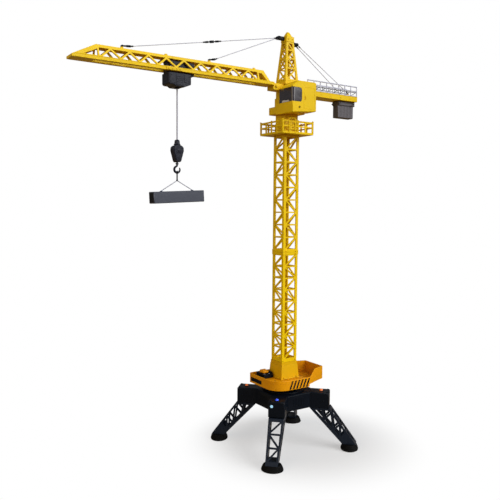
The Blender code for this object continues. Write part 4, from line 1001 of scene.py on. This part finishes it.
def jib_trim():
    """Bolts at the splice of the two jib halves, and rounded beads along the chords."""
    places = [
        ((JIB_SPLIT + x, side * 0.0238, 1.1136), (0, side, 0))
        for side in SIDES
        for x in (-0.0165, -0.0065, 0.0065, 0.0165)
    ]
    bolts("jib_joint_bolts", places, 0.0015)
    bm = bmesh.new()
    tip, middle = JIB_TIP + 0.008, (-0.5, -0.35, -0.2)
    for side in SIDES:
        edge = side * (JIB_HALF - 0.0008)
        add_tube(bm, [(x, edge, JIB_LEDGE) for x in (tip, *middle, -0.085)], 0.0013, 8)
        edge = side * (JIB_HALF - 0.001)
        add_tube(bm, [(x, edge, JIB_LOW + 0.001) for x in (tip, *middle, -0.07)], 0.0013, 8)
        top = (JIB_TIP + 0.066, *middle, -0.1)
        add_tube(bm, [(x, side * 0.0118, JIB_HIGH - 0.0011) for x in top], 0.0014, 8)
    on_turntable("jib_chord_beads", bm)


def deck_trim():
    """Bolts and edge beads on the counter-jib's deck, its walkway treads, and the counterweight's bolts."""
    bm = bmesh.new()
    along = (DECK_FRONT, 0.16, REAR_REACH - 0.001)
    for side in SIDES:
        for i in range(5):
            add_bolt(bm, (0.075 + i * 0.04, side * DECK_HALF, 1.099), (0, side, 0), 0.0015)
        for z in (DECK_HIGH - 0.0008, DECK_LOW + 0.0008):
            add_tube(bm, [(x, side * (DECK_HALF - 0.0004), z) for x in along], 0.001, 8)
    on_turntable("deck_trim", bm)
    bm = bmesh.new()
    low, high = DECK_HIGH - 0.0004, DECK_HIGH + 0.0006
    for i in range(22):
        x = 0.061 + i * 0.0066
        for y in (-0.019, 0.019):
            add_box(bm, (x, y - 0.0035, low), (x + 0.0022, y + 0.0035, high))
    on_turntable("walkway_treads", bm, rounding=0.0002)
    places = [((x, side * 0.021, 1.0835), (0, side, 0)) for side in SIDES for x in (0.2015, 0.257)]
    bolts("ballast_bolts", places, 0.0019, "ballast_plastic")


def jib_pieces():
    ties()
    for name, side in NEAR_FAR.items():
        handrail(name, side)
    jib_trim()
    deck_trim()


# -------- trolley and rope
ROPE_RADIUS, DRUM_Z, BLOCK_TOP = 0.0021, 1.088, 0.9256
TROLLEY_X, CASE_LOW = -0.377, 1.0685
WHEELS = {"wheels_outer": -0.4, "wheels_inner": -0.34}
AXLE_Z = 1.1188


def hoist_rope():
    """Three laid strands from the drum to the block, which stretch between the two."""
    low, high = BLOCK_TOP + 0.0003, DRUM_Z
    bm = bmesh.new()
    points = straight((ROPE_X, 0, high), (ROPE_X, 0, low), 0.0011)
    add_tube(bm, points, ROPE_RADIUS, 18, lobes=3, pitch=0.0125, depth=0.14)
    rope = new_piece("hoist_rope_strands", bm, "grey_cord", None)
    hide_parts("hoist_rope")
    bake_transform(rope)


def trolley_panels():
    """Raised panels, louvres and screws on the trolley's case."""
    bm = bmesh.new()
    top = 1.1005
    panels = ((-0.031, -0.015, 1.0765), (-0.012, 0.01, 1.0725), (0.013, 0.03, 1.0805))
    for side in SIDES:
        for left, right, low in panels:
            panel = rectangle(TROLLEY_X + left, TROLLEY_X + right, low, top)
            add_slab(bm, panel, side * 0.0211, side * 0.0226, "Y")
        for i in range(4):
            z = 1.08 + i * 0.0048
            louvre = rectangle(TROLLEY_X - 0.0095, TROLLEY_X + 0.0075, z, z + 0.0018)
            add_slab(bm, louvre, side * 0.0222, side * 0.0234, "Y")
    for left, right in ((-0.0345, -0.033), (0.033, 0.0345)):
        add_box(bm, (TROLLEY_X + left, -0.015, 1.082), (TROLLEY_X + right, 0.015, 1.101))
    new_piece("trolley_panels", bm, "black_plastic", "trolley", 0.0004)
    spots = ((-0.0275, 1.08), (-0.0275, 1.097), (0.0265, 1.0845), (0.0265, 1.097))
    places = [((TROLLEY_X + dx, side * 0.0226, z), (0, side, 0)) for side in SIDES for dx, z in spots]
    bolts("trolley_screws", places, 0.0013, "black_plastic", "trolley", add_screw)


def trolley_pieces():
    hoist_rope()
    trolley_panels()
    bm = bmesh.new()
    collar = [(0.0075, 0.0), (0.0075, -0.0016), (0.006, -0.0026), (0.003, -0.0026), (0.003, 0.0)]
    add_turned(bm, collar, (ROPE_X, 0, CASE_LOW + 0.0002), UP, 20)
    new_piece("rope_guide", bm, "black_plastic", "trolley")
    cap = [(0.0026, 0.0), (0.0026, 0.0005), (0.0016, 0.0009), (0.0005, 0.001)]
    for index, (body, x) in enumerate(WHEELS.items()):
        bm = bmesh.new()
        for side in SIDES:
            add_turned(bm, cap, (x, side * 0.0147, AXLE_Z), (0, side, 0), 12)
        new_piece(f"wheel_hubs_{index}", bm, "grey_plastic", body)


# -------- hook block, hook and load
BLOCK_BOTTOM, HOOK_RING = 0.8665, 0.0086
SHEAVE_Z, CHEEK_BOLT_Z = 0.896, 0.8785
LOAD_LENGTH, LOAD_SIDE, LOAD_Z, LOAD_TILT = 0.155, 0.032, 0.7715, 2.9
SLING_APEX, SLING_SPREAD, SLING_RADIUS = 0.8155, 0.0475, 0.0013
LINK_RADIUS = 0.0046


def block_cheeks():
    """A plate on each side of the hook block, with the sheave's boss and two bolts."""
    bm = bmesh.new()
    half = [(0.0068, 0.8728), (0.0138, 0.8985), (0.0128, 0.9055)]
    outline = [(ROPE_X - dx, z) for dx, z in reversed(half)] + [(ROPE_X + dx, z) for dx, z in half]
    boss = [(0.007, 0.0), (0.007, 0.001), (0.0062, 0.0014), (0.004, 0.0014)]
    for side in SIDES:
        out = (0, side, 0)
        add_slab(bm, outline, side * 0.0101, side * 0.0121, "Y")
        add_turned(bm, boss, (ROPE_X, side * 0.0118, SHEAVE_Z), out, 24)
        add_bolt(bm, (ROPE_X, side * 0.013, SHEAVE_Z), out, 0.0028)
        add_bolt(bm, (ROPE_X, side * 0.012, CHEEK_BOLT_Z), out, 0.0018)
    new_piece("block_cheeks", bm, "black_plastic", "hoist_block", 0.0004)


def rope_socket():
    bm = bmesh.new()
    cone = [(0.007, 0.0), (0.0066, 0.0012), (0.004, 0.0026), (0.0022, 0.0032)]
    add_turned(bm, cone, (ROPE_X, 0, BLOCK_TOP - 0.0004), UP, 20)
    add_turned(bm, [(0.0092, 0.9135), (0.0097, 0.9145), (0.0092, 0.916)], (ROPE_X, 0, 0), UP, 24)
    new_piece("rope_socket", bm, "black_plastic", "hoist_block")


def forged_hook():
    """A round shank, thick in the bowl and drawn out to a blunt tip."""
    shank = ((0, BLOCK_BOTTOM + 0.0045), (0, HOOK_Z + 0.015), (0, HOOK_Z + 0.0115))
    points = [(ROPE_X + dx, 0, z) for dx, z in (*shank, (-0.001, HOOK_Z + 0.0092))]
    for degrees in range(-24, -307, -10):
        t = math.radians(degrees)
        points.append((ROPE_X + HOOK_RING * math.sin(t), 0, HOOK_Z + HOOK_RING * math.cos(t)))
    radii = []
    for i in range(len(points)):
        share = max(0.0, (i - 3) / (len(points) - 4))
        swell = 0.0005 * math.sin(math.pi * min(1.0, share * 1.3))
        taper = 0.0011 * max(0.0, share - 0.72) / 0.28
        radii.append(0.0027 + swell - taper)
    bm = bmesh.new()
    add_tube(bm, points, radii, 14)
    collar = [(0.0032, 0.0), (0.0047, 0.0006), (0.0047, 0.0024), (0.0032, 0.003)]
    add_turned(bm, collar, (ROPE_X, 0, HOOK_Z + 0.014), UP, 20)
    hook = new_piece("forged_hook", bm, "black_plastic", "swivel_hook")
    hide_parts("hook")


def sling_link():
    """A ring in the hook with a link hanging from it."""
    ring_z = HOOK_Z - HOOK_RING
    bm = bmesh.new()
    turns = [2 * math.pi * i / 24 for i in range(24)]
    ring = [(ROPE_X, LINK_RADIUS * math.sin(t), ring_z - LINK_RADIUS * math.cos(t)) for t in turns]
    add_tube(bm, ring, 0.001, 8, closed=True)
    link = [(0.0009, 0.0), (0.0019, -0.0012), (0.0019, -0.015), (0.0026, -0.016), (0.0026, -0.0182)]
    add_turned(bm, link + [(0.0012, -0.019)], (ROPE_X, 0, ring_z - LINK_RADIUS + 0.0004), UP, 14)
    return new_piece("sling_link", bm, "black_plastic", "load")


def sling_leg(name, start, foot):
    bm = bmesh.new()
    add_tube(bm, straight(start, foot, 0.0014), SLING_RADIUS, 10, lobes=3, pitch=0.008, depth=0.14)
    leg = new_piece(f"sling_leg_{name}", bm, "grey_cord", "load")


def load_pieces():
    """The sling, its shoes on the load beam, and the beam's dark ends. The beam hangs a little tilted."""
    tilt = Matrix.Rotation(-math.radians(LOAD_TILT), 4, "Y")
    tilt = Matrix.Translation(Vector((ROPE_X, 0, LOAD_Z))) @ tilt
    link = sling_link()
    bm = bmesh.new()
    up = (tilt.to_3x3() @ Vector(UP)).normalized()
    shoe = [(0.0042, 0.0), (0.0042, 0.0008), (0.0026, 0.002), (0.0012, 0.0024)]
    for side in SIDES:
        add_turned(bm, shoe, tilt @ Vector((side * SLING_SPREAD, 0, LOAD_SIDE / 2 - 0.0002)), up, 14)
    new_piece("sling_shoes", bm, "slate_plastic", "load")
    for name, side in (("left", -1), ("right", 1)):
        start = Vector((ROPE_X + side * 0.0008, 0, SLING_APEX + 0.0004))
        sling_leg(name, start, tilt @ Vector((side * SLING_SPREAD, 0, LOAD_SIDE / 2 + 0.0016)))
    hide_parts("load_sling")
    bm = bmesh.new()
    half, face = LOAD_LENGTH / 2, LOAD_SIDE / 2 - 0.003
    for end in SIDES:
        add_slab(bm, rectangle(-face, face, -face, face), end * (half - 0.0005), end * (half + 0.0006), "X")
    bmesh.ops.transform(bm, matrix=tilt, verts=bm.verts)
    new_piece("beam_end_panels", bm, "black_plastic", "load", 0.0005)


def hook_pieces():
    block_cheeks()
    rope_socket()
    forged_hook()
    load_pieces()


# -------- the whole scene
make_camera()
make_lights()
make_world()
make_floor()
bpy.context.scene.view_settings.view_transform = "Standard"
for node_name, node_object in NODES.items():
    finish_node(node_name, node_object)
base_pieces()
tray_pieces()
tower_pieces()
cab_pieces()
jib_pieces()
trolley_pieces()
hook_pieces()
